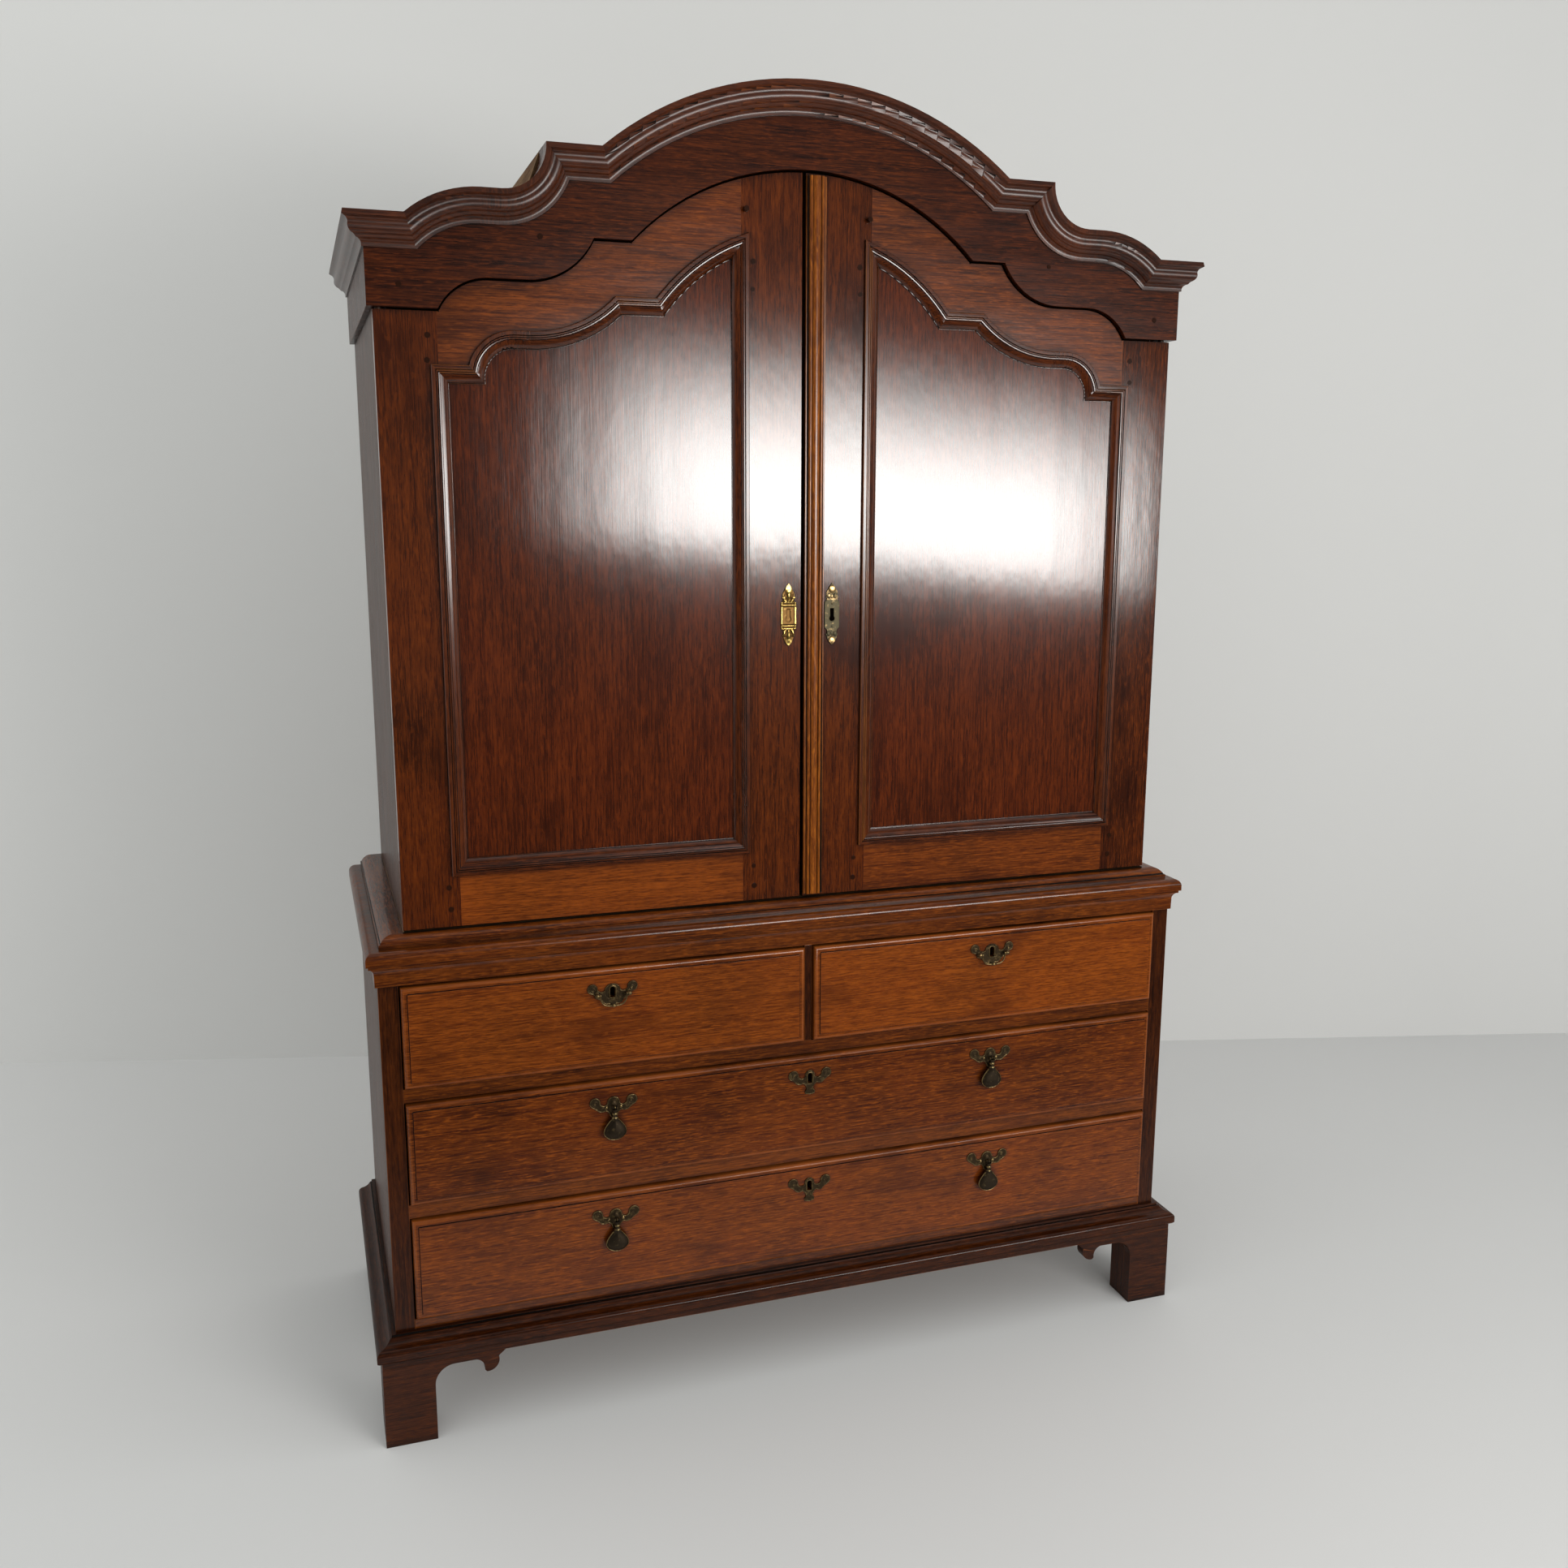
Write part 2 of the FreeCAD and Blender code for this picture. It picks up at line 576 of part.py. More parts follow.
def crest_runs(crest, section, deep, face_y, outer_x):
    """The six straight and bent lengths of a moulding that follows the right half of a crest."""
    arcs = crest.arcs()
    inner = crest.inset(deep)
    end_mitre = ((crest.end_x, crest.end_z), (inner.end_x, inner.end_z))
    out_mitre = ((crest.notch_out, crest.notch_z), (inner.notch_out, inner.notch_z))
    in_mitre = ((crest.notch_in, crest.notch_z), (inner.notch_in, inner.notch_z))
    spare = math.radians(4.0)

    def sweep_to(name, inner_name):
        return max(arcs[name][3], inner.arcs()[inner_name][3]) + spare

    first_x = min(crest.end_x, inner.end_x) - 5
    last_out = max(crest.notch_out, inner.notch_out) + 5
    first_in = min(crest.notch_in, inner.notch_in) - 5
    middle_end = (outer_x + FAR, crest.end_z)
    shelf_side = (crest.shelf_out, crest.shelf_z)
    hollow_side = (crest.shelf_in, crest.shelf_z)
    notch_side = ((crest.notch_in + crest.notch_out) / 2, crest.notch_z)
    crown_side = (0.0, crest.crown_z)

    end_flat = flat_run(section, face_y, first_x, outer_x, crest.end_z)
    end_flat = end_flat.common(beside(*end_mitre, middle_end))
    bend = arc_run(section, face_y, arcs["round"], False, 0.0, sweep_to("round", "round"))
    bend = bend.common(beside(*end_mitre, shelf_side))
    shelf = flat_run(section, face_y, crest.shelf_in, crest.shelf_out, crest.shelf_z)
    hollow = arc_run(section, face_y, arcs["hollow"], True, 0.0, sweep_to("hollow", "hollow"))
    hollow = hollow.common(beside(*out_mitre, hollow_side))
    notch = flat_run(section, face_y, first_in, last_out, crest.notch_z)
    notch = notch.common(beside(*out_mitre, notch_side))
    notch = notch.common(beside(*in_mitre, notch_side))
    arch = arc_run(section, face_y, arcs["arch"], False, 0.0, sweep_to("arch", "arch"))
    arch = arch.common(beside(*in_mitre, crown_side))
    return [end_flat, bend, shelf, hollow, notch, arch]


def one_solid(shape):
    return max(shape.Solids, key=lambda solid: solid.Volume)


# ---------------------------------------------------------------- chest of drawers

def bracket_points():
    """Face of one bracket board, from the corner (0) inwards, with its arch and drop."""
    arch_z = FOOT_HEIGHT - FOOT_BRACKET_THICK
    spring_z = arch_z - FOOT_ARCH_RADIUS
    tip_z = FOOT_HEIGHT - FOOT_DROP_HEIGHT
    slant = FOOT_ARCH_RADIUS * (1 - math.sqrt(0.5))
    level_x = FOOT_WIDTH + FOOT_ARCH_RADIUS
    hook_x = level_x + FOOT_ARCH_FLAT
    drop_x = hook_x + FOOT_DROP_HOOK
    back_x = drop_x + FOOT_DROP_WIDTH
    hook = FOOT_DROP_HOOK / 4
    return [
        (0.0, 0.0),
        (FOOT_WIDTH, 0.0),
        (FOOT_WIDTH, spring_z),
        (FOOT_WIDTH + slant, arch_z - slant, level_x, arch_z),
        (hook_x, arch_z),
        (drop_x - hook, arch_z - 2 * hook, drop_x, tip_z + hook),
        (drop_x + hook, tip_z),
        (back_x - hook, tip_z + 2 * hook, back_x, arch_z),
        (back_x + BRACKET_TAIL, FOOT_HEIGHT),
        (0.0, FOOT_HEIGHT),
    ]


def bracket_board(place, thickness):
    return Part.Face(outline(bracket_points(), place)).extrude(thickness)


def feet():
    corner = CHEST_HALF + FOOT_OUT
    inside = corner - FOOT_BOARD
    front_y = -FOOT_OUT
    mitre = plan_prism([(corner, front_y), (inside, front_y + FOOT_BOARD), (inside, CHEST_DEPTH),
                        (corner, CHEST_DEPTH)], 0.0, FOOT_HEIGHT)
    front_board = bracket_board(lambda s, z: Vector(corner - s, front_y, z),
                                Vector(0, FOOT_BOARD, 0))
    front_board = one_solid(front_board.cut(mitre))
    side_board = bracket_board(lambda s, z: Vector(corner, front_y + s, z),
                               Vector(-FOOT_BOARD, 0, 0))
    side_board = one_solid(side_board.common(mitre))
    rear_board = bracket_board(lambda s, z: Vector(corner, CHEST_DEPTH - s, z),
                               Vector(-FOOT_BOARD, 0, 0))
    block_x = corner - FOOT_WIDTH
    block = box(block_x, inside, front_y + FOOT_BOARD, front_y + FOOT_BLOCK_DEPTH, 0.0,
                FOOT_HEIGHT)
    rear_block = box(block_x, inside, CHEST_DEPTH - FOOT_BLOCK_DEPTH, CHEST_DEPTH, 0.0,
                     FOOT_HEIGHT)
    put_out("front_feet", pair(front_board) + pair(side_board) + pair(block))
    put_out("rear_feet", pair(rear_board) + pair(rear_block))


def base_frame():
    out = CHEST_HALF + FOOT_OUT
    inside = out - BASE_STRIP_WIDTH
    front = box(-out, out, -FOOT_OUT, BASE_STRIP_WIDTH - FOOT_OUT, FOOT_HEIGHT, BASE_Z)
    side = box(inside, out, BASE_STRIP_WIDTH - FOOT_OUT, CHEST_DEPTH, FOOT_HEIGHT, BASE_Z)
    back = box(-inside, inside, CHEST_DEPTH - BASE_STRIP_WIDTH, CHEST_DEPTH, FOOT_HEIGHT, BASE_Z)
    put_out("base_frame", [front, back] + pair(side))
    put_out("plinth_moulding", three_runs(PLINTH_SECTION, CHEST_HALF, 0.0, CHEST_DEPTH, BASE_Z))


def bolt_slot(x, top_z):
    """Mortise in a rail for the bolt of the drawer lock below it."""
    half = LOCK_BOLT / 2 + 1.0
    return box(x - half, x + half, FRONT_BACK_Y, FRONT_BACK_Y + 9.0, top_z,
               top_z + LOCK_THROW + 2.0)


def chest_carcase():
    side = box(CHEST_INSIDE, CHEST_HALF, STILE_DEPTH, CHEST_DEPTH, BASE_Z, CHEST_TOP_Z)
    put_out("chest_sides", pair(side))

    stile = box(OPENING_HALF, CHEST_HALF, 0.0, STILE_DEPTH, BASE_Z, CHEST_TOP_Z)
    short_x = (OPENING_HALF + MUNTIN / 2) / 2
    rails = [box(-OPENING_HALF, OPENING_HALF, 0.0, RAIL_DEPTH, BASE_Z, LOWER_Z)]
    lower = box(-OPENING_HALF, OPENING_HALF, 0.0, RAIL_DEPTH, UPPER_Z - DRAWER_RAIL, UPPER_Z)
    rails.append(lower.cut(bolt_slot(0.0, UPPER_Z - DRAWER_RAIL)))
    upper = box(-OPENING_HALF, OPENING_HALF, 0.0, RAIL_DEPTH, SHORT_Z - DRAWER_RAIL, SHORT_Z)
    rails.append(upper.cut(bolt_slot(0.0, SHORT_Z - DRAWER_RAIL)))
    top = box(-OPENING_HALF, OPENING_HALF, 0.0, RAIL_DEPTH, TOP_RAIL_Z, CHEST_TOP_Z)
    for x in (-short_x, short_x):
        top = top.cut(bolt_slot(x, TOP_RAIL_Z))
    rails.append(top)
    muntin = box(-MUNTIN / 2, MUNTIN / 2, 0.0, RAIL_DEPTH, SHORT_Z, TOP_RAIL_Z)
    put_out("chest_front_frame", pair(stile) + rails + [muntin])

    runners = []
    guide_x = OPENING_HALF - DRAWER_GAP + SLIDE_GAP
    for level in (LOWER_Z, UPPER_Z, SHORT_Z):
        runner = box(CHEST_INSIDE - RUNNER_WIDTH, CHEST_INSIDE, RAIL_DEPTH, BACK_INNER_Y,
                     level - RUNNER, level)
        guide = box(guide_x, CHEST_INSIDE, RAIL_DEPTH, BACK_INNER_Y, level, level + GUIDE_HEIGHT)
        runners += pair(fused(runner, guide))
    middle = box(-RUNNER_WIDTH / 2, RUNNER_WIDTH / 2, RAIL_DEPTH, BACK_INNER_Y, SHORT_Z - RUNNER,
                 SHORT_Z)
    rib_half = MUNTIN / 2 + DRAWER_GAP - SLIDE_GAP
    rib = box(-rib_half, rib_half, RAIL_DEPTH, BACK_INNER_Y, SHORT_Z, SHORT_Z + GUIDE_HEIGHT)
    runners.append(fused(middle, rib))
    put_out("drawer_runners", runners)

    put_out("chest_bottom", [box(-CHEST_INSIDE, CHEST_INSIDE, RAIL_DEPTH, BACK_INNER_Y, BASE_Z,
                                 BASE_Z + SHELF)])
    put_out("chest_back_boards", planks(CHEST_INSIDE, BASE_Z, CHEST_TOP_Z))


def planks(half, z0, z1):
    """Upright back boards side by side between the sides."""
    width = 2 * half / BACK_PLANKS
    return [box(-half + i * width, -half + (i + 1) * width, BACK_INNER_Y, CHEST_DEPTH, z0, z1)
            for i in range(BACK_PLANKS)]


def chest_top():
    half = CHEST_HALF + TOP_NOSE
    board = box(-half, half, -TOP_NOSE, CHEST_DEPTH, CHEST_TOP_Z, WAIST_Z)
    nose = []
    for edge in board.Edges:
        middle = edge.CenterOfMass
        on_top = abs(middle.z - WAIST_Z) < 0.1 and middle.y < CHEST_DEPTH - 1
        if on_top:
            nose.append(edge)
    board = board.makeFillet(0.55 * CHEST_TOP, nose)
    put_out("chest_top", [board])
    put_out("waist_moulding", three_runs(COVE_SECTION, CHEST_HALF, 0.0, CHEST_DEPTH, TOP_RAIL_Z))

    # The side runs reach in to the cupboard's sides, the front run to its floor board.
    runs = three_runs(RETAINER_SECTION, CHEST_HALF, 0.0, CHEST_DEPTH, WAIST_Z)
    hollow = box(-CUPBOARD_HALF, CUPBOARD_HALF, DOOR_SETBACK, CHEST_DEPTH, WAIST_Z,
                 WAIST_Z + RETAINER_HEIGHT)
    filler = box(CUPBOARD_HALF, CHEST_HALF - RETAINER_DEPTH, DOOR_SETBACK, CHEST_DEPTH, WAIST_Z,
                 WAIST_Z + RETAINER_HEIGHT)
    front = one_solid(runs[0].cut(hollow))
    right = [run for run in runs[1:] if run.CenterOfMass.x > 0][0]
    right = one_solid(fused(right, filler).cut(hollow).cut(front))
    put_out("retaining_moulding", [front] + pair(right))


# ---------------------------------------------------------------- cupboard carcase

def shelf_levels():
    """Undersides of the shelves, evenly spaced between the floor board and the ceiling."""
    clear = (CEILING_Z - FLOOR_Z - SHELF_COUNT * SHELF) / (SHELF_COUNT + 1)
    return [FLOOR_Z + clear + i * (clear + SHELF) for i in range(SHELF_COUNT)]


def cupboard_carcase():
    pin_holes = [cylinder(PIVOT_PIN, Vector(x, PIVOT_Y, FLOOR_Z - 12.0), Vector(0, 0, 1), 20.0)
                 for x in (-PIVOT_X, PIVOT_X)]
    floor = box(-CUPBOARD_HALF, CUPBOARD_HALF, DOOR_SETBACK, CHEST_DEPTH, WAIST_Z, FLOOR_Z)
    put_out("cupboard_floor", [floor.cut(pin_holes)])

    side_top = CORNICE.end_z - ROOF_BOARD
    side = box(CUPBOARD_INSIDE, CUPBOARD_HALF, CARCASE_Y, CHEST_DEPTH, FLOOR_Z, side_top)
    put_out("cupboard_sides", pair(side))

    roof_shape = below_roof(0.0, CHEST_DEPTH)
    back = [one_solid(plank.common(roof_shape))
            for plank in planks(CUPBOARD_INSIDE, FLOOR_Z, CORNICE.crown_z)]
    put_out("cupboard_back_boards", back)

    head = box(-CUPBOARD_INSIDE, CUPBOARD_INSIDE, CARCASE_Y, CARCASE_Y + HEAD_RAIL, CEILING_Z,
               CORNICE.crown_z).common(roof_shape)
    bolt_hole = box(DOOR_BOLT_X - DOOR_BOLT_HALF - 2.0, DOOR_BOLT_X + DOOR_BOLT_HALF + 2.0,
                    DOOR_BACK_Y, CARCASE_Y + 14.0, CEILING_Z, CEILING_Z + DOOR_BOLT_THROW + 4.0)
    put_out("head_rail", [one_solid(head.cut(bolt_hole))])
    put_out("cupboard_ceiling", [box(-CUPBOARD_INSIDE, CUPBOARD_INSIDE, CARCASE_Y + HEAD_RAIL,
                                     BACK_INNER_Y, CEILING_Z, CEILING_Z + CEILING)])

    shelves = []
    bearers = []
    for z in shelf_levels():
        front_y = CARCASE_Y + SHELF_SETBACK
        shelves.append(box(-CUPBOARD_INSIDE, CUPBOARD_INSIDE, front_y, BACK_INNER_Y, z, z + SHELF))
        bearer = box(CUPBOARD_INSIDE - BEARER, CUPBOARD_INSIDE, front_y + BEARER, BACK_INNER_Y,
                     z - BEARER, z)
        bearers += pair(bearer)
    put_out("shelves", shelves)
    put_out("shelf_bearers", bearers)


def hood():
    front = under(CORNICE, DOOR_Z, FRIEZE_Y, CARCASE_Y)
    front = front.cut(under(FRIEZE_EDGE, DOOR_Z - 10.0, FRIEZE_Y - 1.0, CARCASE_Y + 1.0))
    top_holes = [cylinder(PIVOT_PIN, Vector(x, PIVOT_Y, SHOULDER_Z - 1.0), Vector(0, 0, 1),
                          PIVOT_LENGTH + 1.0) for x in (-PIVOT_X, PIVOT_X)]
    front = one_solid(front.cut(top_holes))
    side = box(CUPBOARD_HALF, FRIEZE_HALF, CARCASE_Y, CHEST_DEPTH, SHOULDER_Z,
               CORNICE.end_z - ROOF_BOARD)
    put_out("frieze", [front] + pair(side))

    corner_x = FRIEZE_HALF + FAR
    runs = crest_runs(CORNICE, CORNICE_SECTION, CORNICE_DEEP, FRIEZE_Y, corner_x)
    mitre_front = plan_prism(wedge(FRIEZE_HALF, FRIEZE_Y, CHEST_DEPTH, 0), 0.0, 2 * CORNICE.end_z)
    mitre_side = plan_prism(wedge(FRIEZE_HALF, FRIEZE_Y, CHEST_DEPTH, 1), 0.0, 2 * CORNICE.end_z)
    runs[0] = runs[0].common(mitre_front)
    side_face = Part.Face(outline(CORNICE_SECTION, lambda n, p: Vector(
        FRIEZE_HALF + p, FRIEZE_Y - FAR, CORNICE.end_z - n)))
    side_run = side_face.extrude(Vector(0, CHEST_DEPTH - FRIEZE_Y + FAR, 0)).common(mitre_side)
    pieces = []
    for run in runs + [side_run]:
        pieces += pair(one_solid(run))
    put_out("cornice_moulding", pieces)
    put_out("roof_boards", roof_boards())


def roof_corners():
    """Upper and lower corners of the roof's planks, from the right end to the crown."""
    arcs = CORNICE.arcs()
    outer = [(FRIEZE_HALF, CORNICE.end_z), (CORNICE.end_x, CORNICE.end_z)]
    cx, cz, radius, sweep = arcs["round"]
    outer.append((cx + radius * math.sin(sweep / 2), cz + radius * math.cos(sweep / 2)))
    outer.append(((CORNICE.shelf_out + CORNICE.shelf_in) / 2, CORNICE.shelf_z))
    cx, cz, radius, sweep = arcs["hollow"]
    outer.append((cx - radius * math.sin(sweep / 2), cz - radius * math.cos(sweep / 2)))
    outer.append((CORNICE.notch_out, CORNICE.notch_z))
    outer.append((CORNICE.notch_in, CORNICE.notch_z))
    cx, cz, radius, sweep = arcs["arch"]
    for share in (2 / 3, 1 / 3, 0):
        outer.append((radius * math.sin(sweep * share), cz + radius * math.cos(sweep * share)))

    # Each corner's inner point lies on the bisector, one board's thickness inside both faces.
    normals = []
    for a, b in zip(outer, outer[1:]):
        length = math.dist(a, b)
        normals.append(((b[1] - a[1]) / length, -(b[0] - a[0]) / length))
    inner = []
    for i, point in enumerate(outer):
        before = normals[max(i - 1, 0)]
        after = normals[min(i, len(normals) - 1)]
        if i == len(outer) - 1:
            after = (-before[0], before[1])
        share = ROOF_BOARD / (1 + before[0] * after[0] + before[1] * after[1])
        inner.append((point[0] - share * (before[0] + after[0]),
                      point[1] - share * (before[1] + after[1])))
    return outer, inner


def below_roof(y0, y1):
    """Everything between the roof's planks and the cupboard's floor."""
    _, inner = roof_corners()
    right = [(CUPBOARD_HALF, FLOOR_Z), (CUPBOARD_HALF, inner[0][1])] + inner[1:]
    left = [(-x, z) for x, z in reversed(right[:-1])]
    return prism(right + left, y0, y1)


def roof_boards():
    """Planks from front to back that follow the cornice's top line, mitred to each other."""
    outer, inner = roof_corners()
    boards = []
    for i in range(len(outer) - 1):
        quad = [outer[i], outer[i + 1], inner[i + 1], inner[i]]
        boards += pair(prism(quad, CARCASE_Y, CHEST_DEPTH))
    return boards


def hinge_pins():
    low = [cylinder(PIVOT_PIN, Vector(x, PIVOT_Y, FLOOR_Z - 12.0), Vector(0, 0, 1),
                    12.0 + DOOR_FOOT_GAP + PIVOT_LENGTH) for x in (-PIVOT_X, PIVOT_X)]
    high = [cylinder(PIVOT_PIN, Vector(x, PIVOT_Y, SHOULDER_Z - DOOR_HEAD_GAP - PIVOT_LENGTH),
                     Vector(0, 0, 1), 2 * PIVOT_LENGTH + DOOR_HEAD_GAP)
            for x in (-PIVOT_X, PIVOT_X)]
    put_out("hinge_pins", low + high)


# ---------------------------------------------------------------- doors

DOOR_HEAD = FRIEZE_EDGE.inset(DOOR_HEAD_GAP, CUPBOARD_HALF)
SIGHT = PANEL_EDGE.inset(MOULD_LAP, PANEL_OUTER - MOULD_LAP)
TONGUE = PANEL_EDGE.inset(MOULD_LAP - PANEL_TONGUE, PANEL_OUTER - MOULD_LAP + PANEL_TONGUE)
PLATE_HOLE = PIVOT_PIN + PIVOT_FIT


def key_slot(x, z, y0, y1):
    """Tall key hole with a rounded top, as on the drawers."""
    half = DRAWER_KEY / 2
    foot = z - DRAWER_KEY_HEIGHT / 2
    spring = z + DRAWER_KEY_HEIGHT / 2 - half
    return prism([(x - half, foot), (x + half, foot), (x + half, spring),
                  (x, spring + half, x - half, spring)], y0, y1)


def door_key_hole(x, z, y0, y1):
    """Key hole with a round eye at its foot, as on the doors."""
    half = DOOR_KEY_SLOT / 2
    top = z + DOOR_KEY_HEIGHT / 2
    eye_z = z - DOOR_KEY_HEIGHT / 2 + DOOR_KEY_EYE / 2
    eye = cylinder(DOOR_KEY_EYE / 2, Vector(x, y0, eye_z), Vector(0, 1, 0), y1 - y0)
    return eye.fuse(prism([(x - half, eye_z), (x - half, top), (x + half, top),
                           (x + half, eye_z)], y0, y1))


def escutcheon(x, z, depth):
    """Tall cast plate with stepped shoulders and leaf-shaped ends, its key hole cut this deep."""
    front_y = DOOR_SETBACK - PLATE
    plate = prism(cast_outline(ESCUTCHEON, x, z), front_y, DOOR_SETBACK)
    return plate.cut(door_key_hole(x, z, front_y - 1.0, front_y + depth))


def door_frame(name, meeting_x, hinge_sign, key_hole):
    """Stiles, rails, panel and panel moulding of one door, named for its side."""
    leaf = under(DOOR_HEAD, DOOR_Z, DOOR_SETBACK, DOOR_BACK_Y)
    x_out = hinge_sign * CUPBOARD_HALF
    stile_out = hinge_sign * (PANEL_OUTER - MOULD_LAP)
    stile_in = hinge_sign * (PANEL_INNER + MOULD_LAP)
    y0 = DOOR_SETBACK - 1.0
    y1 = DOOR_BACK_Y + 1.0
    z1 = CORNICE.crown_z
    panel_y = DOOR_SETBACK + PANEL_RECESS
    rail_top = PANEL_FOOT + MOULD_LAP

    panel = under(TONGUE, rail_top - PANEL_TONGUE, panel_y, panel_y + PANEL_THICKNESS)
    panel = panel.common(box(*sorted((hinge_sign * (PANEL_INNER + MOULD_LAP - PANEL_TONGUE),
                                      stile_out + hinge_sign * PANEL_TONGUE)), y0, y1, 0.0, z1))
    panel = one_solid(panel)

    outer_stile = leaf.common(box(*sorted((x_out, stile_out)), y0, y1, DOOR_Z, z1))
    round_x = x_out - hinge_sign * DOOR_ARRIS
    round_y = DOOR_BACK_Y - DOOR_ARRIS
    rounding = box(*sorted((x_out, round_x)), round_y, DOOR_BACK_Y, DOOR_Z, z1)
    rounding = rounding.cut(cylinder(DOOR_ARRIS, Vector(round_x, round_y, DOOR_Z),
                                     Vector(0, 0, 1), z1))
    sockets = [cylinder(PLATE_HOLE, Vector(hinge_sign * PIVOT_X, PIVOT_Y, z), Vector(0, 0, 1),
                        PIVOT_LENGTH + 1.0)
               for z in (DOOR_Z, SHOULDER_Z - DOOR_HEAD_GAP - PIVOT_LENGTH - 1.0)]
    outer_stile = outer_stile.cut([rounding, panel] + sockets)
    inner_stile = leaf.common(box(*sorted((stile_in, meeting_x)), y0, y1, DOOR_Z, z1))
    inner_stile = inner_stile.cut(panel)
    if key_hole:
        inner_stile = inner_stile.cut(door_key_hole(DOOR_KEY_RIGHT, DOOR_KEY_Z, y0, y1))
    put_out(name + "_stiles", [one_solid(outer_stile), one_solid(inner_stile)])

    between = box(*sorted((stile_in, stile_out)), y0, y1, DOOR_Z, z1)
    middle = leaf.common(between).cut(panel)
    sight = under(SIGHT, rail_top, y0 - 1.0, y1 + 1.0)
    rails = middle.cut(sight)
    bottom_rail = one_solid(rails.common(box(-z1, z1, y0, y1, 0.0, rail_top + 50.0)))
    top_rail = one_solid(rails.common(box(-z1, z1, y0, y1, rail_top + 50.0, z1)))
    put_out(name + "_rails", [bottom_rail, top_rail])
    put_out(name + "_panel", [panel])
    put_out(name + "_panel_moulding", panel_moulding(hinge_sign))


def panel_moulding(hinge_sign):
    """Frame of moulding round a panel: shaped along the top, mitred at every corner."""
    top = crest_runs(PANEL_EDGE, PANEL_SECTION, MOULD_WIDTH, DOOR_SETBACK, PANEL_OUTER)
    inner_x = PANEL_INNER
    inside = PANEL_INNER + MOULD_WIDTH
    arch_z = PANEL_EDGE.crown_z - PANEL_EDGE.arch_r
    lap_x = inner_x + MOULD_LAP
    lap_z = arch_z + math.sqrt((PANEL_EDGE.arch_r - MOULD_LAP) ** 2 - lap_x ** 2)
    corner_low = arch_z + math.sqrt((PANEL_EDGE.arch_r - MOULD_WIDTH) ** 2 - inside ** 2)
    arch_mitre = ((lap_x, lap_z), (inside, corner_low))
    end_corner = ((PANEL_OUTER, PANEL_EDGE.end_z),
                  (PANEL_OUTER - MOULD_WIDTH, PANEL_EDGE.end_z - MOULD_WIDTH))
    low_out = ((PANEL_OUTER, PANEL_FOOT), (PANEL_OUTER - MOULD_WIDTH, PANEL_FOOT + MOULD_WIDTH))
    low_in = ((inner_x, PANEL_FOOT), (inside, PANEL_FOOT + MOULD_WIDTH))
    centre = ((PANEL_OUTER + inner_x) / 2, (PANEL_FOOT + PANEL_EDGE.end_z) / 2)

    top[0] = top[0].common(beside(*end_corner, (centre[0], PANEL_EDGE.end_z)))
    top[5] = top[5].common(beside(*arch_mitre, (centre[0], PANEL_EDGE.crown_z)))

    def side_run(x, inwards, top_z):
        face = Part.Face(outline(PANEL_SECTION, lambda n, p: Vector(
            x + inwards * n, DOOR_SETBACK - p, PANEL_FOOT)))
        return face.extrude(Vector(0, 0, top_z - PANEL_FOOT))

    outer = side_run(PANEL_OUTER, -1, PANEL_EDGE.end_z)
    outer = outer.common(beside(*end_corner, centre)).common(beside(*low_out, centre))
    inner = side_run(inner_x, 1, PANEL_EDGE.crown_z)
    inner = inner.common(beside(*arch_mitre, (inner_x, centre[1])))
    inner = inner.common(beside(*low_in, (inner_x, centre[1])))
    foot_face = Part.Face(outline(PANEL_SECTION, lambda n, p: Vector(
        inner_x, DOOR_SETBACK - p, PANEL_FOOT + n)))
    foot = foot_face.extrude(Vector(PANEL_OUTER - inner_x, 0, 0))
    foot = foot.common(beside(*low_out, (centre[0], PANEL_FOOT)))
    foot = foot.common(beside(*low_in, (centre[0], PANEL_FOOT)))
    pieces = [one_solid(piece) for piece in top + [outer, inner, foot]]
    if hinge_sign < 0:
        pieces = [mirrored(piece) for piece in pieces]
    return pieces


def pivot_plates(hinge_sign):
    """Iron eyes let into the top and bottom of the hinge stile's back, round the pivots."""
    x = hinge_sign * PIVOT_X
    plates = []
    near = x - hinge_sign * (PIVOT_PIN + 3.0)
    far = near - hinge_sign * PIVOT_PLATE_WIDTH
    for z in (DOOR_Z + PIVOT_PLATE_END,
              SHOULDER_Z - DOOR_HEAD_GAP - PIVOT_PLATE_END - PIVOT_PLATE_HEIGHT):
        plates.append(box(*sorted((near, far)), DOOR_BACK_Y, DOOR_BACK_Y + PIVOT_PLATE_THICK, z,
                          z + PIVOT_PLATE_HEIGHT))
    return plates


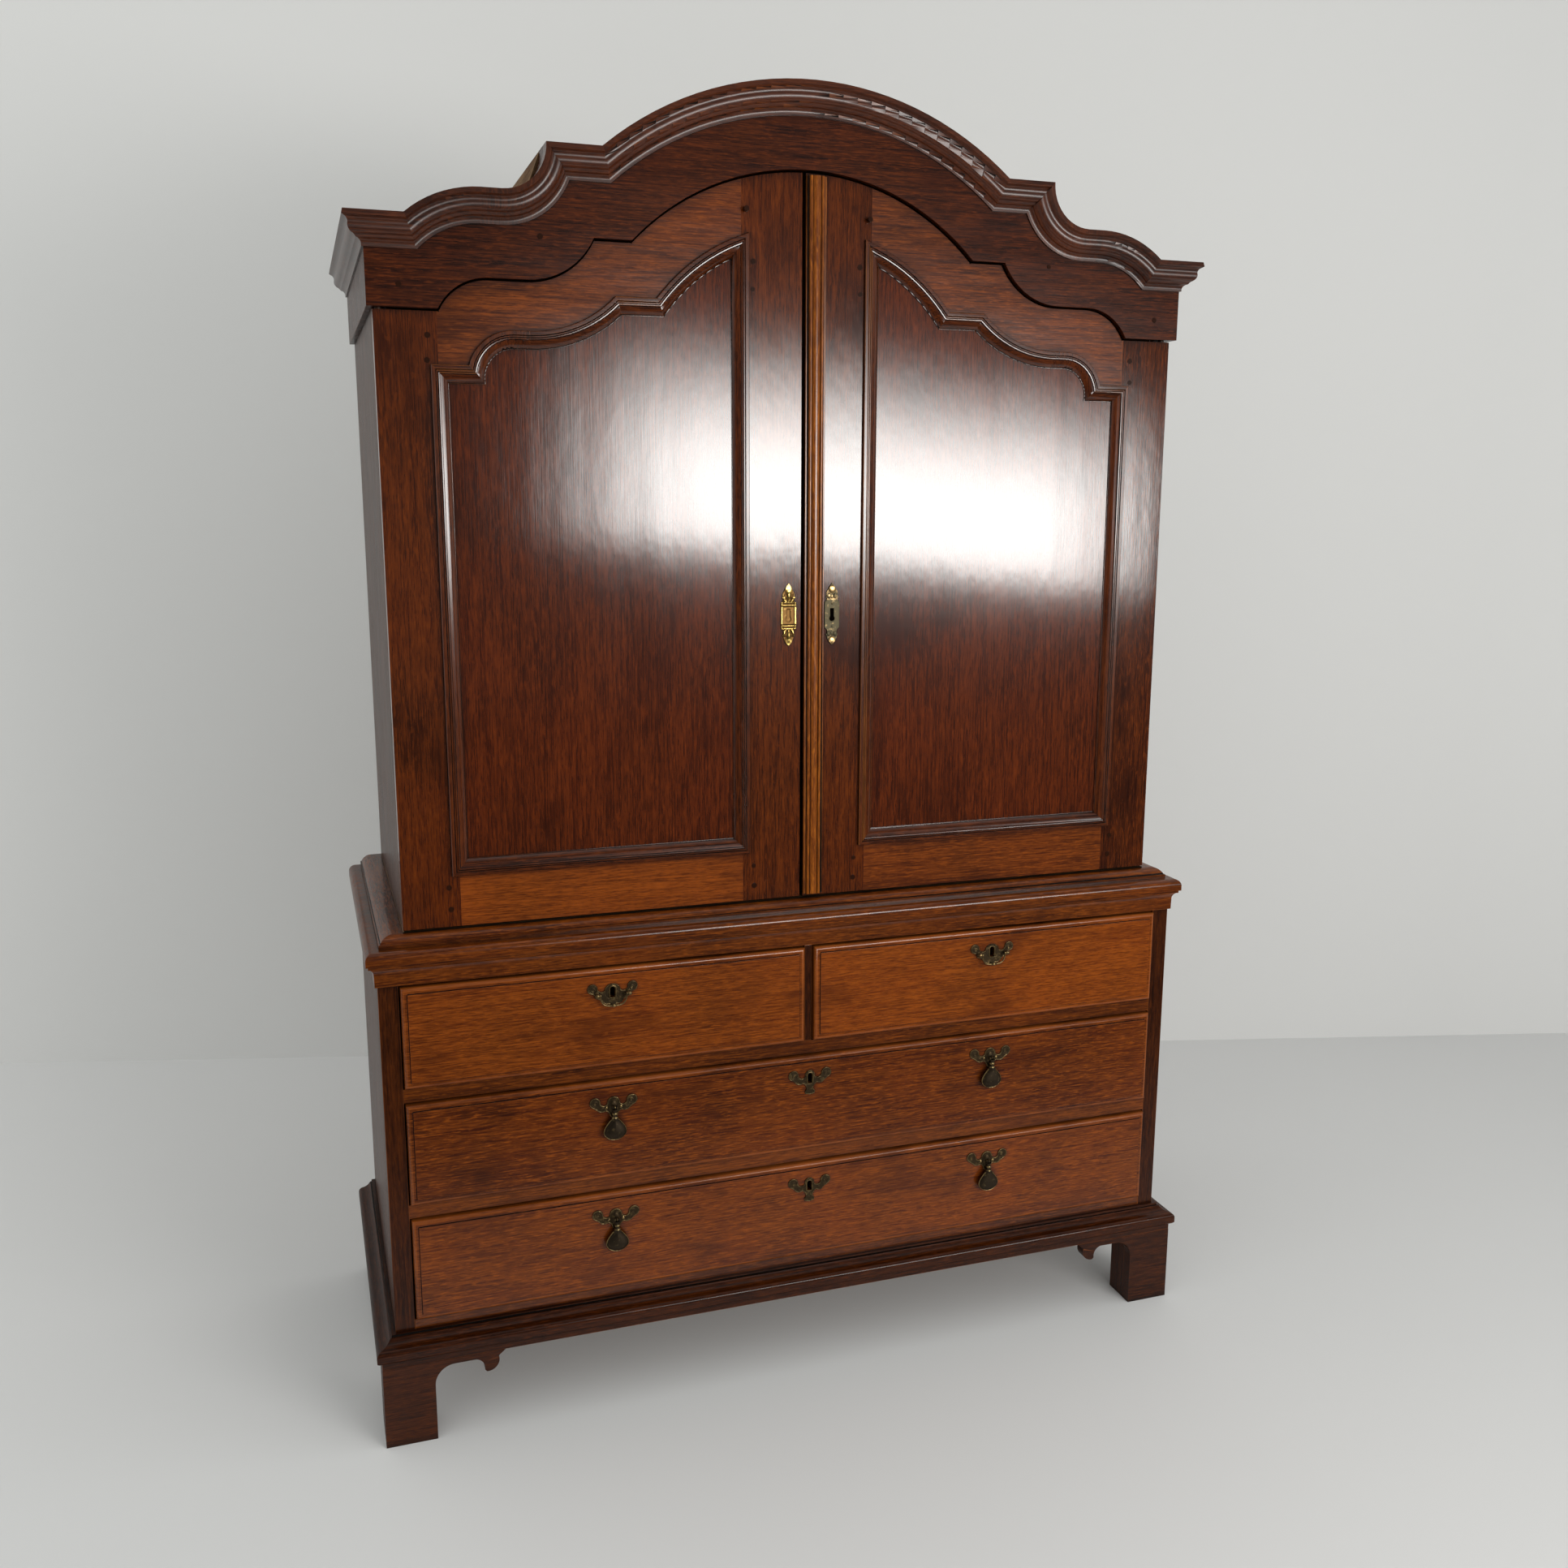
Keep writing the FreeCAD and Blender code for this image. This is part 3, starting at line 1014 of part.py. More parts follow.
def doors():
    door_frame("left_door", MEETING_LEFT, -1, False)
    door_frame("right_door", MEETING_RIGHT, 1, True)
    put_out("left_door_escutcheon", [escutcheon(DOOR_KEY_LEFT, DOOR_KEY_Z, PLATE - 0.6)])
    put_out("right_door_escutcheon", [escutcheon(DOOR_KEY_RIGHT, DOOR_KEY_Z, PLATE + 1.0)])

    w = ASTRAGAL_WIDTH
    section = [
        (0.0, 0.0), (0.0, 3.6), (4.4, 3.6), (4.8, 5.0), (7.4, 8.2, 10.2, 6.0),
        (w / 2, ASTRAGAL_PROUD, w - 10.2, 6.0), (w - 7.4, 8.2, w - 4.8, 5.0),
        (w - 4.4, 3.6), (w, 3.6), (w, 0.0),
    ]
    top_z = FRIEZE_EDGE.crown_z - DOOR_HEAD_GAP - ASTRAGAL_END_GAP
    foot_z = DOOR_Z + ASTRAGAL_END_GAP
    face = Part.Face(outline(section, lambda s, p: Vector(ASTRAGAL_LEFT + s, DOOR_SETBACK - p,
                                                          foot_z)))
    put_out("right_door_astragal", [face.extrude(Vector(0, 0, top_z - foot_z))])

    # Surface bolt of the left door: a bar in two staples; it shoots up into the head rail.
    bar_y = DOOR_BACK_Y + 0.6
    bar_back = bar_y + 6.0
    bar_top = CEILING_Z - DOOR_BOLT_REST
    bar_x0 = DOOR_BOLT_X - DOOR_BOLT_HALF
    bar_x1 = DOOR_BOLT_X + DOOR_BOLT_HALF
    bar = box(bar_x0, bar_x1, bar_y, bar_back, bar_top - DOOR_BOLT_LENGTH, bar_top)
    knob = cylinder(5.0, Vector(DOOR_BOLT_X, bar_back, bar_top - DOOR_BOLT_LENGTH / 2),
                    Vector(0, 1, 0), 10.0)
    put_out("left_door_bolt", [fused(bar, knob)])
    staples = []
    for z in (bar_top - 2 * STAPLE_WIDTH, bar_top - DOOR_BOLT_LENGTH + DOOR_BOLT_THROW):
        strap = box(bar_x0 - DOOR_BOLT_HALF, bar_x1 + DOOR_BOLT_HALF, DOOR_BACK_Y, bar_back + 3.0,
                    z, z + STAPLE_WIDTH)
        way = box(bar_x0 - 0.4, bar_x1 + 0.4, DOOR_BACK_Y - 1.0, bar_back + 0.4, z - 1.0,
                  z + STAPLE_WIDTH + 1.0)
        staples.append(strap.cut(way))

    # Rim lock of the right door; its bolt shoots behind the left door into the keeper.
    bolt_half = LOCK_BOLT / 2
    keeper_x = MEETING_LEFT - 2.0
    keeper = box(keeper_x - DOOR_LOCK_THROW - 6.0, keeper_x, DOOR_BACK_Y,
                 DOOR_BACK_Y + DOOR_LOCK_DEPTH - 1.0, DOOR_KEY_Z - bolt_half - 10.0,
                 DOOR_KEY_Z + bolt_half + 10.0)
    keeper = keeper.cut(box(keeper_x - DOOR_LOCK_THROW - 3.0, MEETING_LEFT, DOOR_BACK_Y - 1.0,
                            DOOR_BACK_Y + DOOR_LOCK_DEPTH - 3.5, DOOR_KEY_Z - bolt_half - 2.0,
                            DOOR_KEY_Z + bolt_half + 2.0))
    put_out("left_door_ironwork", pivot_plates(-1) + staples + [keeper])

    lock_x = MEETING_RIGHT + 2.0
    way_x = lock_x + 1.4 * DOOR_LOCK_BOLT
    lock = box(lock_x, lock_x + DOOR_LOCK_CASE, DOOR_BACK_Y, DOOR_BACK_Y + DOOR_LOCK_DEPTH,
               DOOR_KEY_Z - DOOR_LOCK_HEIGHT / 2, DOOR_KEY_Z + DOOR_LOCK_HEIGHT / 2)
    lock = lock.cut(box(lock_x - 1.0, way_x, DOOR_BACK_Y + 2.0, DOOR_BACK_Y + 10.0,
                        DOOR_KEY_Z - bolt_half - 0.5, DOOR_KEY_Z + bolt_half + 0.5))
    put_out("right_door_ironwork", pivot_plates(1) + [lock])
    bolt = box(lock_x + 0.5, lock_x + DOOR_LOCK_BOLT, DOOR_BACK_Y + 2.5, DOOR_BACK_Y + 9.5,
               DOOR_KEY_Z - bolt_half, DOOR_KEY_Z + bolt_half)
    put_out("right_door_lock_bolt", [bolt])


# ---------------------------------------------------------------- drawers

def drawer_front(x0, x1, z0, z1):
    """Thick front with a rounded border and a raised flat field."""
    face_y = FRONT_FACE_Y + DRAWER_FIELD_RISE
    slab = box(x0, x1, face_y, FRONT_BACK_Y, z0, z1)
    border = [edge for edge in slab.Edges
              if max(vertex.Point.y for vertex in edge.Vertexes) < face_y + 0.1]
    slab = slab.makeFillet(DRAWER_EDGE, border)
    field = box(x0 + DRAWER_FIELD, x1 - DRAWER_FIELD, FRONT_FACE_Y, face_y, z0 + DRAWER_FIELD,
                z1 - DRAWER_FIELD)
    return fused(slab, field)


def drawer_box(x0, x1, z0, opening):
    """Two sides, a back and a bottom behind the front."""
    side_x0 = x0 + SLIDE_GAP
    side_x1 = x1 - SLIDE_GAP
    foot = z0 + SLIDE_GAP
    top = z0 + opening - DRAWER_SIDE_DROP
    back_y = BACK_INNER_Y - DRAWER_BACK_GAP
    left = box(side_x0, side_x0 + DRAWER_SIDE, FRONT_BACK_Y, back_y, foot, top)
    right = box(side_x1 - DRAWER_SIDE, side_x1, FRONT_BACK_Y, back_y, foot, top)
    inner0 = side_x0 + DRAWER_SIDE
    inner1 = side_x1 - DRAWER_SIDE
    bottom = box(inner0, inner1, FRONT_BACK_Y, back_y, foot + DRAWER_BOTTOM,
                 foot + 2 * DRAWER_BOTTOM)
    back = box(inner0, inner1, back_y - DRAWER_SIDE, back_y, foot + 2 * DRAWER_BOTTOM, top)
    return [left, right, bottom, back]


def cast_plate(half, x, z):
    """Flat back plate on a drawer front, from the right half of its outline."""
    return prism(cast_outline(half, x, z), FRONT_FACE_Y - PLATE, FRONT_FACE_Y)


def drawer_lock(x, key_z, top_z):
    """Iron lock case behind the front, open at the top for its bolt."""
    half = LOCK_CASE / 2
    case = box(x - half, x + half, FRONT_BACK_Y, FRONT_BACK_Y + LOCK_CASE_DEPTH,
               key_z - 0.3 * LOCK_CASE, top_z - LOCK_BOLT_TOP)
    slot = LOCK_BOLT / 2 + 0.5
    return case.cut(box(x - slot, x + slot, FRONT_BACK_Y + 1.6, FRONT_BACK_Y + 7.4,
                        top_z - LOCK_BOLT_LENGTH - 2 * LOCK_BOLT_TOP, top_z))


def lock_bolt(x, top_z):
    return box(x - LOCK_BOLT / 2, x + LOCK_BOLT / 2, FRONT_BACK_Y + 2.0, FRONT_BACK_Y + 7.0,
               top_z - LOCK_BOLT_LENGTH - LOCK_BOLT_TOP, top_z - LOCK_BOLT_TOP)


def bail_pull(x, key_z):
    """Posts on the plate and the bail that hangs from them."""
    pivot_y = FRONT_FACE_Y - PLATE - BAIL_STAND
    pivot_z = key_z - BAIL_BELOW_KEY
    posts = []
    for side in (-1, 1):
        px = x + side * BAIL_HALF
        stem = cylinder(0.6 * BAIL_POST, Vector(px, FRONT_FACE_Y - PLATE, pivot_z),
                        Vector(0, -1, 0), BAIL_STAND)
        head = cylinder(BAIL_POST, Vector(px, pivot_y + BAIL_POST, pivot_z), Vector(0, -1, 0),
                        2 * BAIL_POST)
        hole = cylinder(BAIL_PIN + PIN_FIT, Vector(px - 2 * BAIL_POST, pivot_y, pivot_z),
                        Vector(1, 0, 0), 4 * BAIL_POST)
        posts.append(fused(stem, head).cut(hole))

    reach = BAIL_HALF - BAIL_CLEAR
    low_z = pivot_z - BAIL_DROP
    outer = reach + BAIL_ROD
    inner = reach - BAIL_ROD
    slant = 1 - math.sqrt(0.5)
    out_turn = BAIL_CORNER + BAIL_ROD
    in_turn = BAIL_CORNER - BAIL_ROD
    under_z = low_z - BAIL_ROD
    over_z = low_z + BAIL_ROD
    loop = prism([
        (x - outer, pivot_z),
        (x - outer, under_z + out_turn),
        (x - outer + slant * out_turn, under_z + slant * out_turn, x - outer + out_turn, under_z),
        (x + outer - out_turn, under_z),
        (x + outer - slant * out_turn, under_z + slant * out_turn, x + outer, under_z + out_turn),
        (x + outer, pivot_z),
        (x + inner, pivot_z),
        (x + inner, over_z + in_turn),
        (x + inner - slant * in_turn, over_z + slant * in_turn, x + inner - in_turn, over_z),
        (x - inner + in_turn, over_z),
        (x - inner + slant * in_turn, over_z + slant * in_turn, x - inner, over_z + in_turn),
        (x - inner, pivot_z),
    ], pivot_y - BAIL_ROD, pivot_y + BAIL_ROD)
    parts = [loop, cylinder(BAIL_BEAD, Vector(x - BAIL_BEAD, pivot_y, low_z), Vector(1, 0, 0),
                            2 * BAIL_BEAD)]
    for side in (-1, 1):
        parts.append(cylinder(BAIL_KNUCKLE, Vector(x + side * inner, pivot_y, pivot_z),
                              Vector(side, 0, 0), 2 * BAIL_ROD))
        parts.append(cylinder(BAIL_PIN, Vector(x + side * reach, pivot_y, pivot_z),
                              Vector(side, 0, 0), BAIL_CLEAR + BAIL_ROD))
    return posts, fused(*parts)


def drop_pull(x, plate_z):
    """A tongue on the plate and the pear-shaped drop that swings from it."""
    pivot_y = FRONT_FACE_Y - PLATE - DROP_STAND
    tip = DROP_TONGUE_ROUND
    tongue = box(x - DROP_TONGUE, x + DROP_TONGUE, pivot_y, FRONT_FACE_Y - PLATE, plate_z - tip,
                 plate_z + tip)
    tongue = fused(tongue, cylinder(tip, Vector(x - DROP_TONGUE, pivot_y, plate_z),
                                    Vector(1, 0, 0), 2 * DROP_TONGUE))
    tongue = tongue.cut(cylinder(DROP_PIN + PIN_FIT, Vector(x - DROP_HALF, pivot_y, plate_z),
                                 Vector(1, 0, 0), 2 * DROP_HALF))

    top = -0.12 * DROP_LENGTH
    half_pear = [
        (0.0, -DROP_LENGTH),
        (0.66 * DROP_HALF, -0.93 * DROP_LENGTH, DROP_HALF, -0.66 * DROP_LENGTH),
        (0.78 * DROP_HALF, -0.39 * DROP_LENGTH, 0.30 * DROP_HALF, -0.17 * DROP_LENGTH),
        (0.18 * DROP_HALF, top),
        (0.0, top),
    ]
    face = Part.Face(outline(half_pear, lambda r, z: Vector(r, 0.0, z)))
    pear = face.revolve(Vector(0, 0, 0), Vector(0, 0, 1), 360)
    squash = FreeCAD.Matrix()
    squash.A22 = DROP_THICK / DROP_HALF
    pear = pear.transformGeometry(squash)
    pear.translate(Vector(x, pivot_y, plate_z))
    ear_in = DROP_TONGUE + SLIDE_GAP
    ear_round = DROP_PIN + 1.0
    shapes = [pear]
    for side in (-1, 1):
        ear_out = ear_in + DROP_EAR
        shapes.append(box(*sorted((x + side * ear_in, x + side * ear_out)), pivot_y - ear_round,
                          pivot_y + ear_round, plate_z - 0.16 * DROP_LENGTH, plate_z))
        shapes.append(cylinder(ear_round, Vector(x + side * ear_in, pivot_y, plate_z),
                               Vector(side, 0, 0), DROP_EAR))
    shapes.append(cylinder(DROP_PIN, Vector(x - ear_in - 1.0, pivot_y, plate_z), Vector(1, 0, 0),
                           2 * ear_in + 2.0))
    return tongue, fused(*shapes)


def short_drawers():
    x_in = MUNTIN / 2 + DRAWER_GAP
    x_out = OPENING_HALF - DRAWER_GAP
    z0 = SHORT_Z + DRAWER_GAP
    z1 = TOP_RAIL_Z - DRAWER_GAP
    middle = (x_in + x_out) / 2
    for name, x0, x1, x in (("left", -x_out, -x_in, -middle), ("right", x_in, x_out, middle)):
        front = drawer_front(x0, x1, z0, z1)
        front = front.cut(key_slot(x, SHORT_KEY_Z, FRONT_FACE_Y - 1.0, FRONT_BACK_Y + 1.0))
        put_out("short_drawer_" + name + "_front", [front])
        put_out("short_drawer_" + name + "_box", drawer_box(x0, x1, SHORT_Z, SHORT_OPENING))
        plate = cast_plate(SHORT_PLATE, x, SHORT_KEY_Z)
        plate = plate.cut(key_slot(x, SHORT_KEY_Z, FRONT_FACE_Y - PLATE - 1.0, FRONT_FACE_Y + 1.0))
        posts, bail = bail_pull(x, SHORT_KEY_Z)
        fittings = fused(plate, *posts)
        put_out("short_drawer_" + name + "_fittings", [fittings, drawer_lock(x, SHORT_KEY_Z, z1)])
        put_out("short_drawer_" + name + "_bail", [bail])
        put_out("short_drawer_" + name + "_lock_bolt", [lock_bolt(x, z1)])


def long_drawers():
    x_out = OPENING_HALF - DRAWER_GAP
    rows = (("upper", UPPER_Z, UPPER_OPENING, UPPER_KEY_Z),
            ("lower", LOWER_Z, LOWER_OPENING, LOWER_KEY_Z))
    for name, level, opening, key_z in rows:
        z0 = level + DRAWER_GAP
        z1 = level + opening - DRAWER_GAP
        front = drawer_front(-x_out, x_out, z0, z1)
        front = front.cut(key_slot(0.0, key_z, FRONT_FACE_Y - 1.0, FRONT_BACK_Y + 1.0))
        put_out("long_drawer_" + name + "_front", [front])
        put_out("long_drawer_" + name + "_box", drawer_box(-x_out, x_out, level, opening))
        plate = cast_plate(KEY_PLATE, 0.0, key_z)
        plate = plate.cut(key_slot(0.0, key_z, FRONT_FACE_Y - PLATE - 1.0, FRONT_FACE_Y + 1.0))
        fittings = [plate, drawer_lock(0.0, key_z, z1)]
        for side, x in (("left", -PULL_X), ("right", PULL_X)):
            pull_z = key_z + PULL_RISE
            back_plate = cast_plate(PULL_PLATE, x, pull_z)
            tongue, drop = drop_pull(x, pull_z)
            fittings.append(fused(back_plate, tongue))
            put_out("long_drawer_" + name + "_drop_" + side, [drop])
        put_out("long_drawer_" + name + "_fittings", fittings)
        put_out("long_drawer_" + name + "_lock_bolt", [lock_bolt(0.0, z1)])


# ---------------------------------------------------------------- the whole piece

def main():
    os.makedirs("parts", exist_ok=True)
    feet()
    base_frame()
    chest_carcase()
    chest_top()
    cupboard_carcase()
    hood()
    hinge_pins()
    doors()
    short_drawers()
    long_drawers()


main()
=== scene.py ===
import json
import math
import random

import bmesh
import bpy
from mathutils import Euler, Matrix, Vector
from mathutils.geometry import delaunay_2d_cdt
from mathutils.kdtree import KDTree


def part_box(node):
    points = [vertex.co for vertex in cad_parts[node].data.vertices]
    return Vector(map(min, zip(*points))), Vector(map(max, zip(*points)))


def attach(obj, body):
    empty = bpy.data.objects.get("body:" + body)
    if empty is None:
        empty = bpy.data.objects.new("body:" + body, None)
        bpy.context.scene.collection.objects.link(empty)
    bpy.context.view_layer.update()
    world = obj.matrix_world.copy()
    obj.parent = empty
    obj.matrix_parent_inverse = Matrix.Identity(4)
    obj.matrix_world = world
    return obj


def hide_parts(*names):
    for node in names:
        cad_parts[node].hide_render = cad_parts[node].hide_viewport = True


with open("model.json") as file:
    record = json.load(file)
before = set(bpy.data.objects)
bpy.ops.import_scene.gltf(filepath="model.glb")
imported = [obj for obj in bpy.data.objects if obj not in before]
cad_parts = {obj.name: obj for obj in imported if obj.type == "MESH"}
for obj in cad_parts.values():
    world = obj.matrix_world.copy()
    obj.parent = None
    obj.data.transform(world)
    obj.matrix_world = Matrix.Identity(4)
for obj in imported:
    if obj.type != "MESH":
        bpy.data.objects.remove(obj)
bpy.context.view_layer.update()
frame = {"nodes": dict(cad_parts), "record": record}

# Oak linen press: the boards, the mouldings and the metalwork of the model get worn arrises,
# the wooden ones also a painted highlight, and painted shade with dirt in their inner corners,
# grain that runs along each board, and the detail of their castings. Metres, as in the frame.

NODES = frame["nodes"]
RECORD = frame["record"]
BODY_OF = {node: body for body, nodes in RECORD["behaviour"]["bodies"].items() for node in nodes}
SLOT_OF = {entry["node"]: entry["material_slot"] for entry in RECORD["subparts"]}
JOINT_OF = {joint["child"]: joint for joint in RECORD["behaviour"]["joints"]}
MM = 0.001
X, Z = 0, 2                    # the axes across and up, as indices


# ---------------------------------------------------------------- camera, room and light

EYE = Vector((-0.8371, -2.6113, 1.5858))
EYE_YAW = -18.762
EYE_PITCH = -11.050
EYE_ROLL = -0.140
EYE_LENS = 33.22
FLOOR_HALF = 9.0
WALL_LEFT = Vector((-9.0, 3.83, 0.0))    # the wall behind stands askew to the press
WALL_RIGHT = Vector((9.0, -1.13, 0.0))
WALL_HEIGHT = 7.0
FLOOR_PAINT = (0.72, 0.715, 0.710)
WALL_PAINT = (0.72, 0.715, 0.705)
PAINTED_SHADE_SHARE = 0.78              # the paint's share at the window's end, where painted shade darkens it
PAINTED_SHADE_SPAN = (-1.6, 2.4)  # where the painted shade starts and ends to fall, across the room
FAR_FLOOR = (-0.55, -1.5)      # depths between which the floor turns dark in mirrors, a painted reflection
# The colour that mirrors see on the far floor: a painted reflection of a dark room.
PAINTED_REFLECTION_DARK = (0.02, 0.018, 0.016)

WINDOW_MIDDLE = Vector((1.62, -3.76, 1.78))
WINDOW_SIZE = (3.15, 0.98)
WINDOW_TILT = 6.0              # its right end hangs lower
WINDOW_POWER = 188.0
WINDOW_TINT = (1.0, 0.985, 0.96)
WINDOW_EDGES = (("X", 0.0, 0.27), ("X", 1.0, 0.74), ("Y", 0.0, 0.05), ("Y", 1.0, 0.30))
ROOM_LEVEL = 0.93
ROOM_SEEN = 0.58               # how bright the room is where it shows past the wall
ROOM_TINT = (0.975, 1.0, 0.985, 1.0)
ROOM_SIDES = (0.86, 1.14)      # shares of the level from the left and from the right
ROOM_FRONT = 0.05              # the dark far end of the room, as wax and brass mirror it


def set_camera():
    """Stands the camera at eye height, to the left of the press."""
    turn = (Matrix.Rotation(math.radians(EYE_YAW), 3, "Z")
            @ Matrix.Rotation(math.radians(EYE_PITCH), 3, "X")
            @ Matrix.Rotation(math.radians(EYE_ROLL), 3, "Y"))
    right, forward, up = turn.col
    place = Matrix((right, up, -forward)).transposed().to_4x4()
    place.translation = EYE
    data = bpy.data.cameras.new("eye")
    data.lens = EYE_LENS
    data.sensor_width = 36.0
    camera = bpy.data.objects.new("eye", data)
    camera.matrix_world = place
    bpy.context.scene.collection.objects.link(camera)
    bpy.context.scene.camera = camera
    bpy.context.scene.view_settings.view_transform = "Standard"


class Wiring:
    """Adds nodes to one node tree; each call hands back the new node's output."""

    def __init__(self, tree):
        self.nodes = tree.nodes
        self.links = tree.links

    def node(self, kind, inputs, output=0, **settings):
        made = self.nodes.new(kind)
        for name, value in settings.items():
            setattr(made, name, value)
        for name, value in inputs.items():
            socket = made.inputs[name]
            if isinstance(value, bpy.types.NodeSocket):
                self.links.new(value, socket)
            else:
                socket.default_value = value
        return made.outputs[output]

    def between(self, value, low, high, to_low=0.0, to_high=1.0, **settings):
        return self.node("ShaderNodeMapRange",
                         {"Value": value, "From Min": low, "From Max": high,
                          "To Min": to_low, "To Max": to_high}, **settings)

    def maths(self, operation, first, second=0.0):
        return self.node("ShaderNodeMath", {0: first, 1: second}, operation=operation)

    def part(self, vector, axis):
        return self.node("ShaderNodeSeparateXYZ", {"Vector": vector}, axis)


class Finish(Wiring):
    """Writes one material."""

    def __init__(self, name):
        self.material = bpy.data.materials.new(name)
        self.material.use_nodes = True
        super().__init__(self.material.node_tree)
        self.nodes.clear()
        self.out = self.nodes.new("ShaderNodeOutputMaterial")

    def attribute(self, name, output):
        return self.node("ShaderNodeAttribute", {}, output, attribute_name=name)

    def place(self):
        return self.node("ShaderNodeTexCoord", {}, "Object")

    def noise(self, vector, scale, detail=2.0, rough=0.5, bend=0.0):
        return self.node("ShaderNodeTexNoise", {"Vector": vector, "Scale": scale, "Detail": detail,
                                                "Roughness": rough, "Distortion": bend}, "Fac")

    def drawn_out(self, grain, share, scale, detail, rough, bend=0.0, shift=(0.0, 0.0, 0.0)):
        """Noise that is drawn out along the grain: the smaller the share, the longer."""
        stretched = self.node("ShaderNodeMapping", {"Vector": grain, "Scale": (1.0, 1.0, share),
                                                    "Location": shift})
        return self.noise(stretched, scale, detail, rough, bend)

    def mix(self, share, first, second, blend="MIX"):
        colours = [value if isinstance(value, bpy.types.NodeSocket) else (*value, 1.0)
                   for value in (first, second)]
        return self.node("ShaderNodeMix", {0: share, 6: colours[0], 7: colours[1]}, 2,
                         data_type="RGBA", blend_type=blend)

    def bump(self, height, depth, before=None):
        inputs = {"Height": height, "Distance": depth, "Strength": 1.0}
        if before:
            inputs["Normal"] = before
        return self.node("ShaderNodeBump", inputs)

    def shade(self, **inputs):
        named = {name.replace("_", " "): value for name, value in inputs.items()}
        surface = self.node("ShaderNodeBsdfPrincipled", named)
        self.links.new(surface, self.out.inputs["Surface"])
        return self.material

    def clear_from_behind(self):
        """The surface shows only from the side that it faces."""
        front = self.out.inputs["Surface"].links[0].from_socket
        behind = self.node("ShaderNodeNewGeometry", {}, "Backfacing")
        clear = self.node("ShaderNodeBsdfTransparent", {})
        either = self.node("ShaderNodeMixShader", {0: behind, 1: front, 2: clear})
        self.links.new(either, self.out.inputs["Surface"])
        return self.material


def flat_mesh(name, corners, faces, material):
    """An object of the given faces, in one finish."""
    mesh = bpy.data.meshes.new(name)
    mesh.from_pydata(corners, [], faces)
    mesh.materials.append(material)
    made = bpy.data.objects.new(name, mesh)
    bpy.context.scene.collection.objects.link(made)
    return made


def room_paint(name, colour):
    """Matt pale paint, painted a little darker where the window is near: painted shade."""
    finish = Finish(name)
    place = finish.place()
    tone = finish.mix(finish.noise(place, 0.35), colour, [part * 1.05 for part in colour])
    nearer = finish.between(finish.part(place, "X"), *PAINTED_SHADE_SPAN)
    # Painted shade: the paint darkens towards the window's end of the room.
    tone = finish.mix(nearer, tone, [part * PAINTED_SHADE_SHARE for part in colour])
    return finish, place, tone


def floor_paint():
    """In mirrors the floor far in front of the press is painted dark: a painted reflection of the
    dark of a room.
    """
    finish, place, tone = room_paint("floor_paint", FLOOR_PAINT)
    far = finish.between(finish.part(place, "Y"), *FAR_FLOOR)
    mirrored = finish.node("ShaderNodeLightPath", {}, "Is Glossy Ray")
    # Painted reflection: glossy rays see the far floor dark.
    tone = finish.mix(finish.maths("MULTIPLY", far, mirrored), tone, PAINTED_REFLECTION_DARK)
    return finish.shade(Base_Color=tone, Roughness=0.75, Specular_IOR_Level=0.2)


def wall_paint():
    """The wall shows only from the room's side, so that the press can be seen from behind."""
    finish, _, tone = room_paint("wall_paint", WALL_PAINT)
    finish.shade(Base_Color=tone, Roughness=0.75, Specular_IOR_Level=0.2)
    return finish.clear_from_behind()


def set_room():
    half = FLOOR_HALF
    floor = flat_mesh("floor", [(-half, -half, 0), (half, -half, 0), (half, half, 0),
                                (-half, half, 0)], [(0, 1, 2, 3)], floor_paint())
    rise = Vector((0, 0, WALL_HEIGHT))
    wall = flat_mesh("wall", [WALL_LEFT, WALL_RIGHT, WALL_RIGHT + rise, WALL_LEFT + rise],
                     [(0, 1, 2, 3)], wall_paint())


def soften_edges(lamp):
    """The window is dimmer towards its edges, as behind a curtain."""
    lamp.use_nodes = True
    curtain = Wiring(lamp.node_tree)
    glow = next(node for node in curtain.nodes if node.type == "EMISSION")
    spot = curtain.node("ShaderNodeNewGeometry", {}, "Parametric")
    strength = 1.0
    for axis, dark, bright in WINDOW_EDGES:
        share = curtain.between(curtain.part(spot, axis), dark, bright,
                                interpolation_type="SMOOTHSTEP")
        strength = curtain.maths("MULTIPLY", share, strength)
    curtain.links.new(strength, glow.inputs["Strength"])


def hang_window():
    """One wide soft window in front and to the right."""
    lamp = bpy.data.lights.new("window", "AREA")
    lamp.shape = "RECTANGLE"
    lamp.size, lamp.size_y = WINDOW_SIZE
    lamp.energy = WINDOW_POWER
    lamp.color = WINDOW_TINT
    window = bpy.data.objects.new("window", lamp)
    window.location = WINDOW_MIDDLE
    window.rotation_euler = Euler((math.radians(90.0), math.radians(WINDOW_TILT), 0.0))
    bpy.context.scene.collection.objects.link(window)
    soften_edges(lamp)


